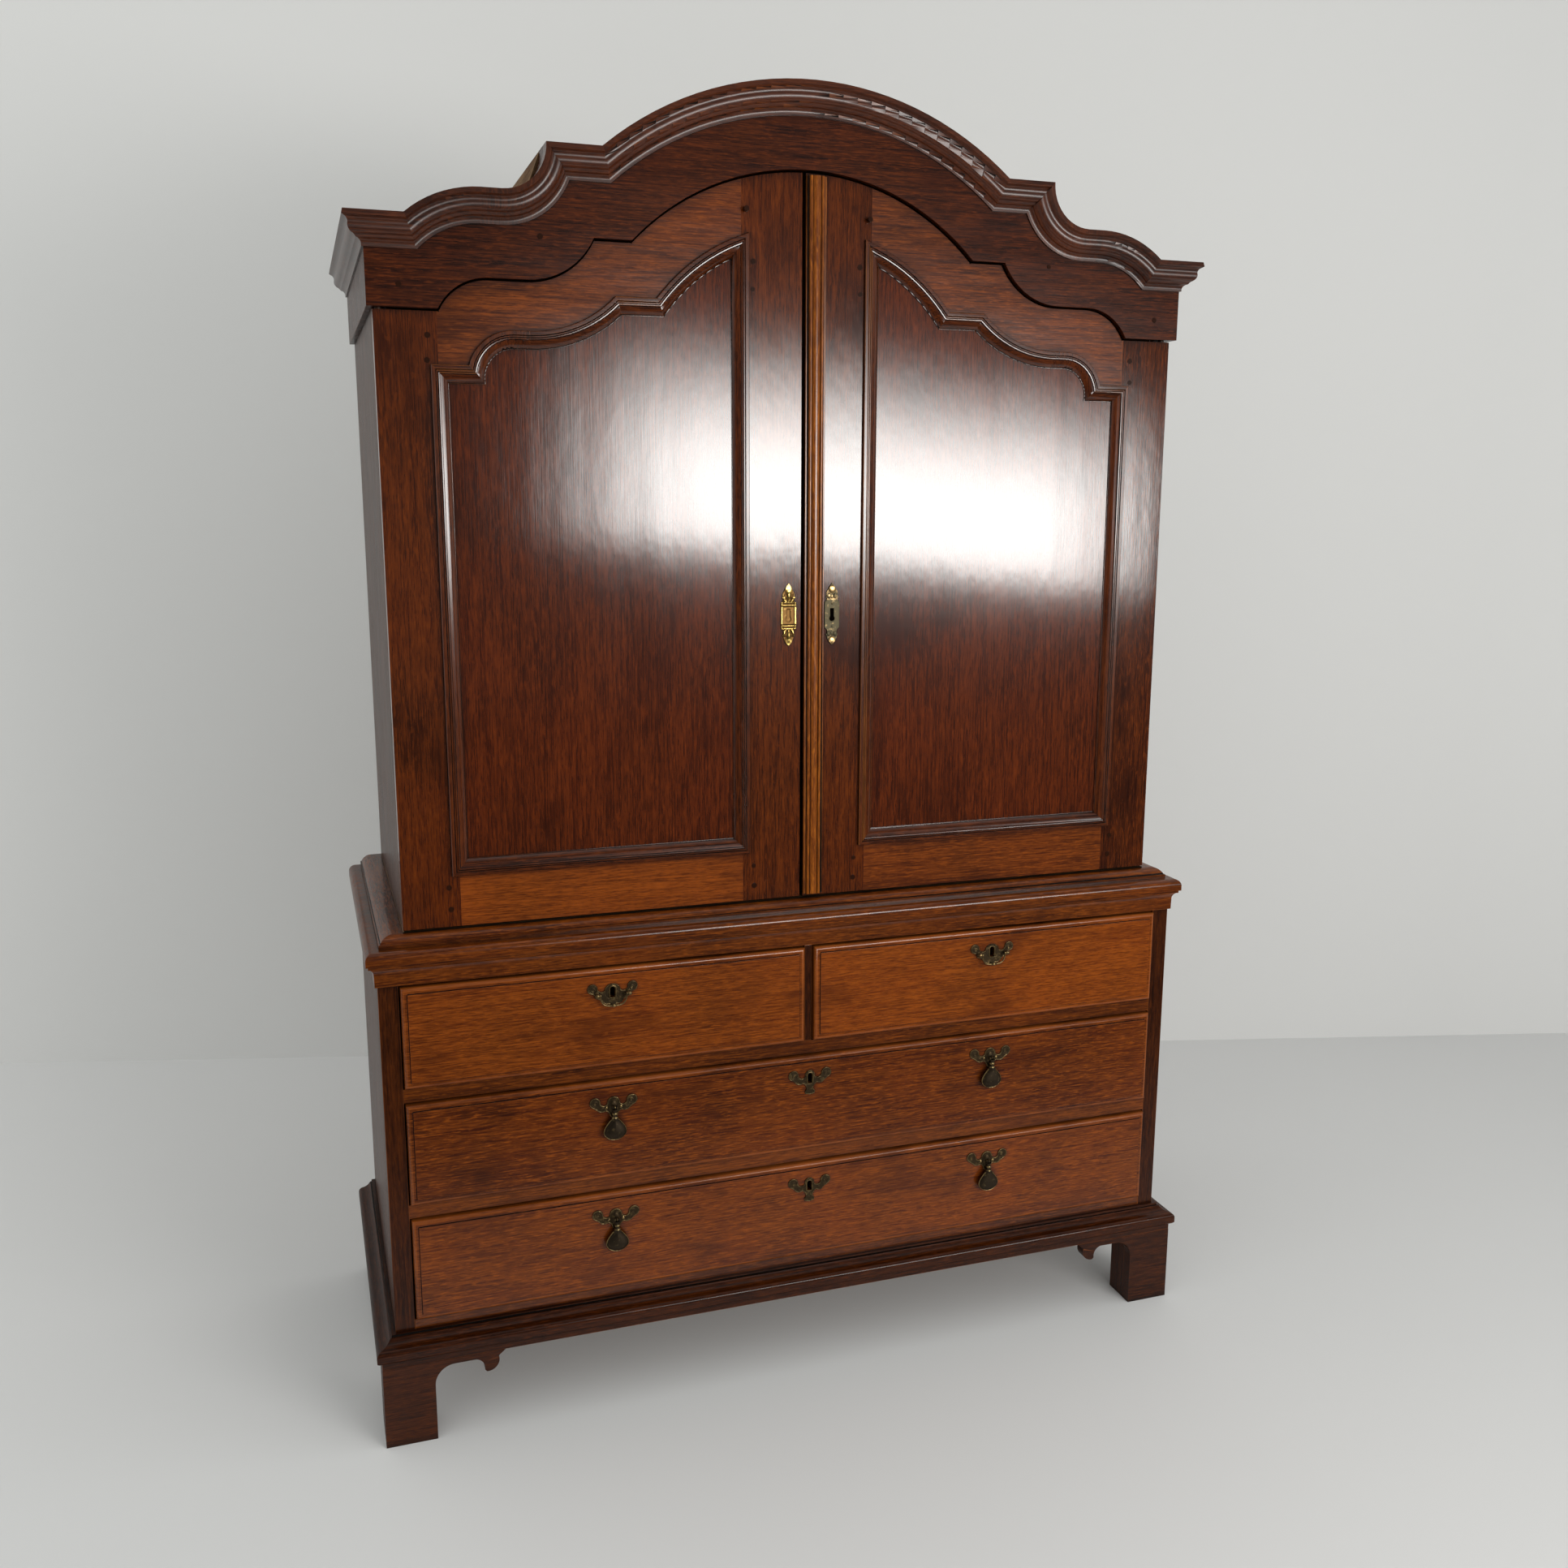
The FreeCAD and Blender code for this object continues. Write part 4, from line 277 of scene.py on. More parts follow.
def light_room():
    """The pale room all round, which mirrors show dark in front of the press."""
    world = bpy.data.worlds.new("room_light")
    world.use_nodes = True
    bpy.context.scene.world = world
    room = Wiring(world.node_tree)
    way = room.node("ShaderNodeTexCoord", {}, "Generated")
    left, right = (share * ROOM_LEVEL for share in ROOM_SIDES)
    level = room.between(room.part(way, "X"), -0.8, 0.8, left, right)
    mirrored = room.between(room.part(way, "Y"), 0.1, -0.6, ROOM_LEVEL, ROOM_FRONT)
    glossy = room.node("ShaderNodeLightPath", {}, "Is Glossy Ray")
    strength = room.node("ShaderNodeMix", {0: glossy, 2: level, 3: mirrored})
    seen = room.node("ShaderNodeLightPath", {}, "Is Camera Ray")
    strength = room.node("ShaderNodeMix", {0: seen, 2: strength, 3: ROOM_SEEN})
    background = room.nodes["Background"]
    background.inputs["Color"].default_value = ROOM_TINT
    room.links.new(strength, background.inputs["Strength"])


# ---------------------------------------------------------------- finishes

# Near-black for dirt and painted shade in grooves and corners.
DIRT_AND_SHADE = (0.003, 0.002, 0.0015)
DARK_GRAIN = (0.40, 0.34, 0.32)


def oak(name, deep, middle, pale, arris, gloss=0.45, wax=0.9, polish=0.15, figure=1.0,
        quirk=0.022):
    """Old oak in browns from deep to pale. It reads, point by point, how the board lies: grain is
    across, through and along it, tint is the board's own tone, and wear marks its arrises, from
    1 where they are rubbed bright and carry a painted highlight to -1 where an inner corner holds
    dirt and painted shade. quirk is how far the painted shade and dirt of a corner reach."""
    finish = Finish(name)
    grain = finish.attribute("grain", "Vector")
    tint = finish.attribute("tint", "Fac")
    wear = finish.attribute("wear", "Fac")

    growth = finish.drawn_out(grain, 0.07, 15.0, 3.0, 0.55, 0.5)
    rings = finish.maths("SINE", finish.maths("MULTIPLY", growth, 75.0 * figure))
    rings = finish.between(rings, -1.0, 1.0)
    bands = finish.drawn_out(grain, 0.045, 95.0, 3.0, 0.65)
    streaks = finish.drawn_out(grain, 0.022, 520.0, 2.0, 0.65)
    pores = finish.drawn_out(grain, 0.045, 1500.0, 1.0, 0.5)
    flecks = finish.drawn_out(grain, 0.35, 150.0, 1.0, 0.4, 0.5)
    ticks = finish.drawn_out(grain, 0.13, 330.0, 3.0, 0.6, shift=(2.0, 7.0, 3.0))
    clouds = finish.noise(finish.place(), 4.6, 4.0, 0.62)
    stains = finish.drawn_out(grain, 0.4, 13.0, 4.0, 0.65, shift=(5.0, 2.0, 1.0))

    tone = finish.mix(finish.between(clouds, 0.34, 0.66), deep, middle)
    tone = finish.mix(finish.maths("MULTIPLY", rings, 0.26 * figure), tone, pale)
    tone = finish.mix(finish.between(bands, 0.42, 0.72, 0.0, 0.42), tone, pale)
    tone = finish.mix(finish.between(streaks, 0.46, 0.70, 0.0, 0.62), tone, pale)
    tone = finish.mix(finish.between(tint, 0.0, 1.0, 0.0, 0.8), tone,
                      finish.mix(0.55, tone, pale))
    tone = finish.mix(1.0, tone, finish.between(tint, 0.0, 1.0, 0.74, 1.25), "MULTIPLY")
    dark = finish.mix(1.0, tone, DARK_GRAIN, "MULTIPLY")
    tone = finish.mix(finish.between(streaks, 0.48, 0.30, 0.0, 0.65), tone, dark)
    tone = finish.mix(finish.between(pores, 0.52, 0.66, 0.0, 0.65), tone, dark)
    tone = finish.mix(finish.between(ticks, 0.55, 0.66, 0.0, 0.62), tone, dark)
    tone = finish.mix(finish.between(ticks, 0.46, 0.34, 0.0, 0.55), tone, pale)
    tone = finish.mix(finish.between(stains, 0.52, 0.72, 0.0, 0.85), tone, dark)
    tone = finish.mix(finish.between(flecks, 0.66, 0.76, 0.0, 0.25), tone, pale)

    # Painted shade and dirt: the colour darkens towards near-black where nearby wood hems the
    # surface in, within quirk of it.
    hollow = finish.node("ShaderNodeAmbientOcclusion", {"Distance": quirk}, "AO", samples=4)
    tone = finish.mix(finish.between(hollow, 0.92, 0.40, 0.0, 0.92), tone,
                      finish.mix(0.90, tone, DIRT_AND_SHADE))
    # Arrises, bead tops and drawer borders lighten towards the arris colour: wear and a painted
    # highlight.
    rubbed = finish.maths("MULTIPLY", wear, finish.between(clouds, 0.34, 0.60, 0.10, 0.90))
    tone = finish.mix(rubbed, tone, arris)
    # Grooves and inner corners, where wear is below zero, are painted near-black: dirt and painted
    # shade.
    dirt_and_shade = finish.between(wear, -0.2, -1.0)
    tone = finish.mix(finish.maths("MULTIPLY", dirt_and_shade, 0.93), tone, DIRT_AND_SHADE)

    cupping = finish.drawn_out(grain, 0.09, 11.0, 1.0, 0.45)
    planing = finish.drawn_out(grain, 0.55, 42.0, 2.0, 0.5)
    grit = finish.maths("MULTIPLY", dirt_and_shade, finish.noise(finish.place(), 1400.0, 2.0, 0.6))
    polished = finish.bump(cupping, 0.0014 * figure ** 2)
    polished = finish.bump(planing, 0.00014 * figure, polished)
    polished = finish.bump(streaks, 0.000045 * figure, polished)
    polished = finish.bump(grit, 0.004, polished)
    open_grain = finish.maths("SUBTRACT", finish.maths("MULTIPLY", streaks, 0.5),
                              finish.between(pores, 0.52, 0.70))
    surface = finish.bump(open_grain, 0.00012, polished)
    rough = finish.between(finish.drawn_out(grain, 0.3, 24.0, 3.0, 0.6), 0.3, 0.7,
                           gloss - 0.05, gloss + 0.09)
    return finish.shade(Base_Color=tone, Roughness=rough, Normal=surface, IOR=1.5,
                        Specular_IOR_Level=0.02, Coat_Weight=wax, Coat_Roughness=polish,
                        Coat_IOR=1.65, Coat_Normal=polished)


def brass(name, bright, dull, grime, shine):
    """Cast brass: bright where wear says that hands rub it, brown in its hollows. shine is the
    roughness of what is rubbed."""
    finish = Finish(name)
    place = finish.place()
    patches = finish.noise(place, 150.0, 3.0, 0.6)
    specks = finish.noise(place, 900.0, 2.0, 0.6)
    hollow = finish.node("ShaderNodeAmbientOcclusion", {"Distance": 0.003}, "AO", samples=4)
    rubbed = finish.maths("ADD", finish.attribute("wear", "Fac"),
                          finish.between(patches, 0.3, 0.7, -0.45, 0.45))
    rubbed = finish.between(rubbed, 0.25, 0.95)
    tone = finish.mix(rubbed, dull, bright)
    tone = finish.mix(finish.between(specks, 0.55, 0.75, 0.0, 0.6), tone, dull)
    tone = finish.mix(finish.between(hollow, 0.95, 0.45), tone, grime)
    rough = finish.between(rubbed, 0.0, 1.0, shine + 0.20, shine)
    dents = finish.bump(finish.noise(place, 420.0, 3.0, 0.6), 0.00015)
    return finish.shade(Base_Color=tone, Metallic=1.0, Roughness=rough, Normal=dents)


def iron(name):
    """Forged iron, black with patches of rust."""
    finish = Finish(name)
    place = finish.place()
    rust = finish.noise(place, 60.0, 4.0, 0.65)
    tone = finish.mix(finish.between(rust, 0.45, 0.62), (0.030, 0.027, 0.025),
                      (0.085, 0.035, 0.018))
    pits = finish.bump(finish.noise(place, 380.0, 3.0, 0.6), 0.0002)
    return finish.shade(Base_Color=tone, Metallic=0.75, Normal=pits,
                        Roughness=finish.between(rust, 0.4, 0.65, 0.42, 0.75))


def make_finishes():
    """Every finish by its short name. An oak's browns are deep, middle, pale and the arris colour,
    which shows wear and a painted highlight.
    """
    return {
        "panel": oak("panel_oak", (0.0193, 0.0024, 0.0005), (0.0577, 0.0075, 0.0009),
                     (0.1295, 0.0221, 0.0018), (0.1193, 0.0236, 0.0042),
                     gloss=0.45, wax=1.0, polish=0.115, figure=0.8),
        "door": oak("door_stile_oak", (0.0174, 0.0025, 0.0004), (0.0568, 0.0083, 0.0009),
                    (0.1393, 0.0271, 0.0018), (0.1400, 0.0297, 0.0046),
                    gloss=0.45, wax=1.0, polish=0.115),
        "rail": oak("door_rail_oak", (0.0291, 0.0043, 0.0006), (0.0900, 0.0145, 0.0011),
                    (0.2281, 0.0488, 0.0025), (0.2050, 0.0478, 0.0063),
                    gloss=0.48, wax=0.5, polish=0.20),
        "moulding": oak("moulding_oak", (0.0139, 0.0025, 0.0005), (0.0459, 0.0080, 0.0011),
                        (0.1169, 0.0238, 0.0023), (0.3480, 0.1076, 0.0167),
                        gloss=0.45, wax=0.85, polish=0.17, figure=0.6, quirk=0.010),
        "cornice": oak("cornice_oak", (0.0139, 0.0025, 0.0008), (0.0439, 0.0077, 0.0012),
                       (0.1107, 0.0229, 0.0029), (0.1803, 0.0454, 0.0078),
                       gloss=0.45, wax=0.85, polish=0.33, figure=0.4, quirk=0.012),
        "frieze": oak("frieze_oak", (0.0069, 0.0012, 0.0004), (0.0332, 0.0055, 0.0009),
                      (0.1165, 0.0215, 0.0020), (0.1053, 0.0253, 0.0069),
                      gloss=0.48, wax=0.42, polish=0.20),
        "astragal": oak("astragal_oak", (0.1038, 0.0200, 0.0013), (0.2352, 0.0507, 0.0020),
                        (0.3782, 0.1094, 0.0056), (0.4207, 0.1464, 0.0293),
                        gloss=0.45, wax=0.6, polish=0.20, figure=0.6, quirk=0.007),
        "drawer": oak("drawer_oak", (0.0425, 0.0056, 0.0007), (0.1261, 0.0201, 0.0014),
                      (0.2554, 0.0580, 0.0028), (0.3249, 0.0907, 0.0160),
                      gloss=0.48, wax=0.5, polish=0.20, figure=0.7, quirk=0.016),
        "rim": oak("chest_rail_oak", (0.0273, 0.0044, 0.0007), (0.0871, 0.0150, 0.0013),
                   (0.2235, 0.0517, 0.0027), (0.3036, 0.0846, 0.0129),
                   gloss=0.48, wax=0.55, polish=0.18, figure=0.8, quirk=0.014),
        "chest": oak("chest_oak", (0.0078, 0.0015, 0.0004), (0.0255, 0.0052, 0.0008),
                     (0.0736, 0.0161, 0.0018), (0.1686, 0.0453, 0.0096),
                     gloss=0.48, wax=0.30, polish=0.20, figure=1.0, quirk=0.012),
        "side": oak("side_oak", (0.0180, 0.0056, 0.0024), (0.0445, 0.0122, 0.0043),
                    (0.0987, 0.0285, 0.0088), (0.1572, 0.0499, 0.0146),
                    gloss=0.50, wax=0.42, polish=0.24),
        "plain": oak("plain_oak", (0.0901, 0.0420, 0.0173), (0.1863, 0.0973, 0.0433),
                     (0.3033, 0.1832, 0.0964), (0.3395, 0.2188, 0.1320),
                     gloss=0.62, wax=0.0, polish=0.3),
        "peg": oak("peg_oak", (0.0070, 0.0020, 0.0007), (0.0198, 0.0053, 0.0015),
                   (0.0467, 0.0121, 0.0034), (0.0467, 0.0121, 0.0034),
                   gloss=0.5, wax=0.3),
        "door_brass": brass("door_brass", (0.74, 0.50, 0.15), (0.184, 0.097, 0.033),
                            (0.024, 0.013, 0.007), shine=0.26),
        "grey_brass": brass("grey_brass", (0.68, 0.45, 0.20), (0.106, 0.090, 0.055),
                            (0.024, 0.017, 0.010), shine=0.32),
        "dark_brass": brass("dark_brass", (0.31, 0.21, 0.09), (0.064, 0.044, 0.024),
                            (0.015, 0.010, 0.007), shine=0.32),
        "drop_brass": brass("drop_brass", (0.39, 0.28, 0.12), (0.051, 0.037, 0.024),
                            (0.013, 0.009, 0.007), shine=0.34),
        "iron": iron("iron_black"),
    }


# ---------------------------------------------------------------- boards

SHARP = math.radians(28.0)     # corners sharper than this are arrises or inner corners
COPLANAR = math.radians(0.8)   # faces that turn less than this are one flat face
QUIRK_WIDTH = 2.2 * MM         # the widest groove of a moulding that gets dirt and painted shade
BEAD_WIDTH = 2.6 * MM          # the widest bead beside it that gets a painted highlight
BORDER_WIDTH = 6.5 * MM        # the rounded border of a drawer's front, which gets a painted highlight
SOFT_ARRIS = 1.2 * MM          # how wide hands and dusters have rounded each kind of arris
CASE_ARRIS = 1.0 * MM
ARRIS = 0.9 * MM
CRISP_ARRIS = 0.8 * MM
THIN_ARRIS = 0.6 * MM
FINE_ARRIS = 0.5 * MM
FLAT_SMOOTH = 30.0             # degrees up to which two faces shade as one
CURVED_SMOOTH = 40.0
CAST_SMOOTH = 50.0


def solids_of(node):
    """The node's closed solids, each a list of triangles given by their corners."""
    mesh = NODES[node].data
    places = [tuple(round(part, 6) for part in vertex.co) for vertex in mesh.vertices]
    solids = []
    triangles = []
    open_edges = set()
    for face in mesh.polygons:
        corners = [places[index] for index in face.vertices]
        if len(set(corners)) < 3:
            continue
        triangles.append(corners)
        for start, end in zip(corners, corners[1:] + corners[:1]):
            if (end, start) in open_edges:
                open_edges.remove((end, start))
            else:
                open_edges.add((start, end))
        if not open_edges:
            solids.append(triangles)
            triangles = []
    if triangles:
        solids.append(triangles)
    return solids


def welded(triangles):
    """One solid as a bmesh whose flat faces are whole. A triangle that comes twice is left out."""
    board = bmesh.new()
    corner = {}
    for triangle in triangles:
        for place in triangle:
            if place not in corner:
                corner[place] = board.verts.new(place)
        try:
            board.faces.new([corner[place] for place in triangle])
        except ValueError:
            continue
    bmesh.ops.dissolve_limit(board, angle_limit=COPLANAR, verts=board.verts[:],
                             edges=board.edges[:])
    return board


def is_narrow(face, width):
    """Whether a face is a strip narrower than this."""
    return face.calc_area() < width * max(edge.calc_length() for edge in face.edges)


def mark_quirks(board, state):
    """The narrow grooves of a moulding get dirt and painted shade, and the beads between them a
    painted highlight.
    """
    for edge in board.edges:
        if not edge.is_convex and edge.calc_face_angle(0.0) > SHARP:
            for face in edge.link_faces:
                if is_narrow(face, QUIRK_WIDTH):
                    face[state] = -1.0
    beads = {face for edge in board.edges
             if edge.is_convex and edge.calc_face_angle(0.0) > SHARP
             and any(face[state] < 0.0 for face in edge.link_faces)
             for face in edge.link_faces if face[state] == 0.0 and is_narrow(face, BEAD_WIDTH)}
    for face in beads:
        face[state] = 0.8


def eased(board, width, steps=2):
    """Rounds the outer arrises, which wear and a painted highlight keep bright, and bevels the
    inner corners, which get dirt and painted shade.
    """
    state = board.faces.layers.float.new("wear")
    board.normal_update()
    mark_quirks(board, state)
    # Inner corners get wear -1, for dirt and painted shade; outer arrises wear 1, for wear and a
    # painted highlight.
    for outer, reach, parts, value in ((False, 1.3 * width, 1, -1.0), (True, width, steps, 1.0)):
        board.normal_update()
        edges = [edge for edge in board.edges
                 if len(edge.link_faces) == 2 and edge.is_convex == outer
                 and edge.calc_face_angle(0.0) > SHARP]
        made = bmesh.ops.bevel(board, geom=edges, offset=reach, offset_type="OFFSET",
                               segments=parts, profile=0.5, affect="EDGES",
                               clamp_overlap=True)
        for face in made["faces"]:
            face[state] = value


def border_highlight(board):
    """The rounded border of a drawer's front gets a painted highlight, lightened towards the arris
    colour.
    """
    state = board.faces.layers.float["wear"]
    low, high = corners_of(board)
    for face in board.faces:
        middle = face.calc_center_median()
        side = min(middle.x - low.x, high.x - middle.x, middle.z - low.z, high.z - middle.z)
        if side < BORDER_WIDTH and face[state] == 0.0:
            face[state] = 0.40


def shaded_front(board):
    """Painted shade: the edge of a board that shows in the gap under the doors is painted
    near-black.
    """
    state = board.faces.layers.float["wear"]
    for face in board.faces:
        if face.normal.y < -0.3:
            face[state] = -1.0


def corners_of(board):
    """The lowest and the highest corner of the box round a board."""
    spots = [vertex.co for vertex in board.verts]
    return (Vector([min(spot[axis] for spot in spots) for axis in range(3)]),
            Vector([max(spot[axis] for spot in spots) for axis in range(3)]))


def long_way(low, high):
    """The axis along which a board is longest, which is where its grain runs."""
    size = high - low
    return max(range(3), key=lambda axis: size[axis])


class Pieces:
    """Gathers boards into one mesh with their grain, tint and wear, which also carries painted
    highlight and painted shade.
    """

    def __init__(self):
        self.places = []
        self.faces = []
        self.grain = []
        self.tint = []
        self.wear = []
        self.random = random.Random(7)

    def add(self, board, along=None, tone=None):
        spots = [vertex.co.copy() for vertex in board.verts]
        low, high = corners_of(board)
        length = long_way(low, high) if along is None else along
        size = high - low
        others = [axis for axis in range(3) if axis != length]
        others.sort(key=lambda axis: -size[axis])
        shift = Vector([self.random.uniform(-3.0, 3.0) for _ in range(3)])
        tint = self.random.uniform(0.15, 0.75) if tone is None else tone(low, high)
        start = len(self.places)
        board.verts.index_update()
        for spot in spots:
            self.places.append(spot)
            self.grain.append(Vector((spot[others[0]], spot[others[1]], spot[length])) + shift)
            self.tint.append(tint)
        state = board.faces.layers.float.get("wear")
        for face in board.faces:
            self.faces.append([start + vertex.index for vertex in face.verts])
            self.wear.append(face[state] if state else 0.0)

    def finished(self, name, material, smooth=FLAT_SMOOTH):
        mesh = bpy.data.meshes.new(name)
        mesh.from_pydata(self.places, [], self.faces)
        grain = mesh.attributes.new("grain", "FLOAT_VECTOR", "POINT")
        grain.data.foreach_set("vector", [part for spot in self.grain for part in spot])
        tint = mesh.attributes.new("tint", "FLOAT", "POINT")
        tint.data.foreach_set("value", self.tint)
        wear = mesh.attributes.new("wear", "FLOAT", "FACE")
        wear.data.foreach_set("value", self.wear)
        mesh.materials.append(material)
        mesh.shade_smooth()
        mesh.set_sharp_from_angle(angle=math.radians(smooth))
        made = bpy.data.objects.new(name, mesh)
        bpy.context.scene.collection.objects.link(made)
        lay = made.modifiers.new("flat faces stay flat", "WEIGHTED_NORMAL")
        lay.mode = "FACE_AREA_WITH_ANGLE"
        lay.keep_sharp = True
        return applied(made)


def applied(made):
    """The object with its modifiers turned into plain mesh."""
    graph = bpy.context.evaluated_depsgraph_get()
    mesh = bpy.data.meshes.new_from_object(made.evaluated_get(graph), depsgraph=graph)
    made.modifiers.clear()
    made.data = mesh
    mesh.name = made.name
    return made


def stand_for(piece, node):
    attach(piece, BODY_OF[node])
    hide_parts(node)


def dress(node, finish, width=ARRIS, along=None, tone=None, smooth=FLAT_SMOOTH, marks=None):
    """Replaces a node by the same boards with eased, worn arrises that carry a painted highlight,
    and inner corners with dirt and painted shade. finish is a name, or picks one by a board's
    lowest and highest corners, as tone picks its tint. along is the grain's axis where it isn't the
    board's long way, and marks adds marks of its own to the wear: a drawer front's painted
    highlight, a front edge's painted shade."""
    sorted_boards = {}
    for triangles in solids_of(node):
        board = welded(triangles)
        name = finish if isinstance(finish, str) else finish(*corners_of(board))
        gathered = sorted_boards.setdefault(name, Pieces())
        eased(board, width)
        if marks:
            marks(board)
        gathered.add(board, along, tone)
        board.free()
    for name, gathered in sorted_boards.items():
        stand_for(gathered.finished(node + "_" + name, FINISHES[name], smooth), node)


WAIST = 1.2                    # the rails below this are the doors' lower rails
DRAWER_TONES = {"short_drawer_left": 0.45, "short_drawer_right": 0.55,
                "long_drawer_upper": 0.0, "long_drawer_lower": 0.25}


def stile_tone(low, high):
    return 0.0 if low.x > 0.5 else 0.35


def rail_tone(low, high):
    if high.z > WAIST:
        return 0.20
    return 0.80 if low.x < 0.0 else 0.30


def even_tone(low, high):
    return 0.35


def paler_rails(low, high):
    return "rim" if long_way(low, high) == X else "chest"


def dress_doors():
    for side in ("left", "right"):
        door = side + "_door_"
        dress(door + "stiles", "door", along=Z, tone=stile_tone)
        dress(door + "rails", "rail", along=X, tone=rail_tone)
        dress(door + "panel", "panel", along=Z, tone=even_tone)
        dress(door + "panel_moulding", "moulding", FINE_ARRIS, smooth=CURVED_SMOOTH)
    dress("right_door_astragal", "astragal", THIN_ARRIS, along=Z)


def dress_case():
    dress("frieze", "frieze", along=X)
    for node, finish in (("cornice_moulding", "cornice"), ("waist_moulding", "rim"),
                         ("retaining_moulding", "rim"), ("plinth_moulding", "chest")):
        dress(node, finish, CRISP_ARRIS, smooth=CURVED_SMOOTH)
    dress("chest_top", "rim", SOFT_ARRIS, along=X)
    dress("chest_front_frame", paler_rails, CASE_ARRIS)
    for node in ("chest_sides", "cupboard_sides"):
        dress(node, "side", CASE_ARRIS, along=Z)
    for node in ("front_feet", "rear_feet", "base_frame"):
        dress(node, "chest", CASE_ARRIS)
    for node in ("chest_back_boards", "chest_bottom", "cupboard_back_boards", "cupboard_ceiling",
                 "drawer_runners", "head_rail", "roof_boards", "shelf_bearers", "shelves"):
        dress(node, "plain", CRISP_ARRIS)
    # The cupboard floor's front edge gets painted shade.
    dress("cupboard_floor", "plain", CRISP_ARRIS, marks=shaded_front)


def dress_drawers():
    for drawer, own_tone in DRAWER_TONES.items():
        # Each drawer front's border gets a painted highlight.
        dress(drawer + "_front", "drawer", along=X, smooth=CURVED_SMOOTH,
              tone=lambda low, high: own_tone, marks=border_highlight)
        dress(drawer + "_box", "plain", THIN_ARRIS)


# ---------------------------------------------------------------- cast brass and turned metal

CAST_STEP = 0.8 * MM           # spacing of the points that carry a casting's relief
EDGE_ROWS = (0.3 * MM, 0.8 * MM)     # rows of points that follow its edges


def flat_outlines(triangles, depth):
    """Loops of (x, z) round the flat face that a solid has at this depth."""
    edges = set()
    for triangle in triangles:
        if all(abs(place[1] - depth) < 1e-5 for place in triangle):
            flat = [(place[0], place[2]) for place in triangle]
            edges.update(zip(flat, flat[1:] + flat[:1]))
    onward = {start: end for start, end in edges if (end, start) not in edges}
    loops = []
    while onward:
        start, here = onward.popitem()
        loop = [start]
        while here != start:
            loop.append(here)
            here = onward.pop(here)
        loops.append(loop)
    loops.sort(key=lambda loop: -abs(turned_area(loop)))
    return loops


def turned_area(loop):
    """Area of a loop, negative where it runs clockwise."""
    return sum(start[0] * end[1] - end[0] * start[1]
               for start, end in zip(loop, loop[1:] + loop[:1])) / 2


def stepped_out(loop, step):
    """The loop with points no further apart than the step."""
    points = []
    for start, end in zip(loop, loop[1:] + loop[:1]):
        parts = max(1, math.ceil(math.dist(start, end) / step))
        for part in range(parts):
            share = part / parts
            points.append((start[0] + share * (end[0] - start[0]),
                           start[1] + share * (end[1] - start[1])))
    return points


def inside(loop, x, z):
    """Whether a point lies within a loop."""
    crossed = False
    for (x0, z0), (x1, z1) in zip(loop, loop[1:] + loop[:1]):
        if (z0 > z) != (z1 > z) and x < x0 + (z - z0) * (x1 - x0) / (z1 - z0):
            crossed = not crossed
    return crossed


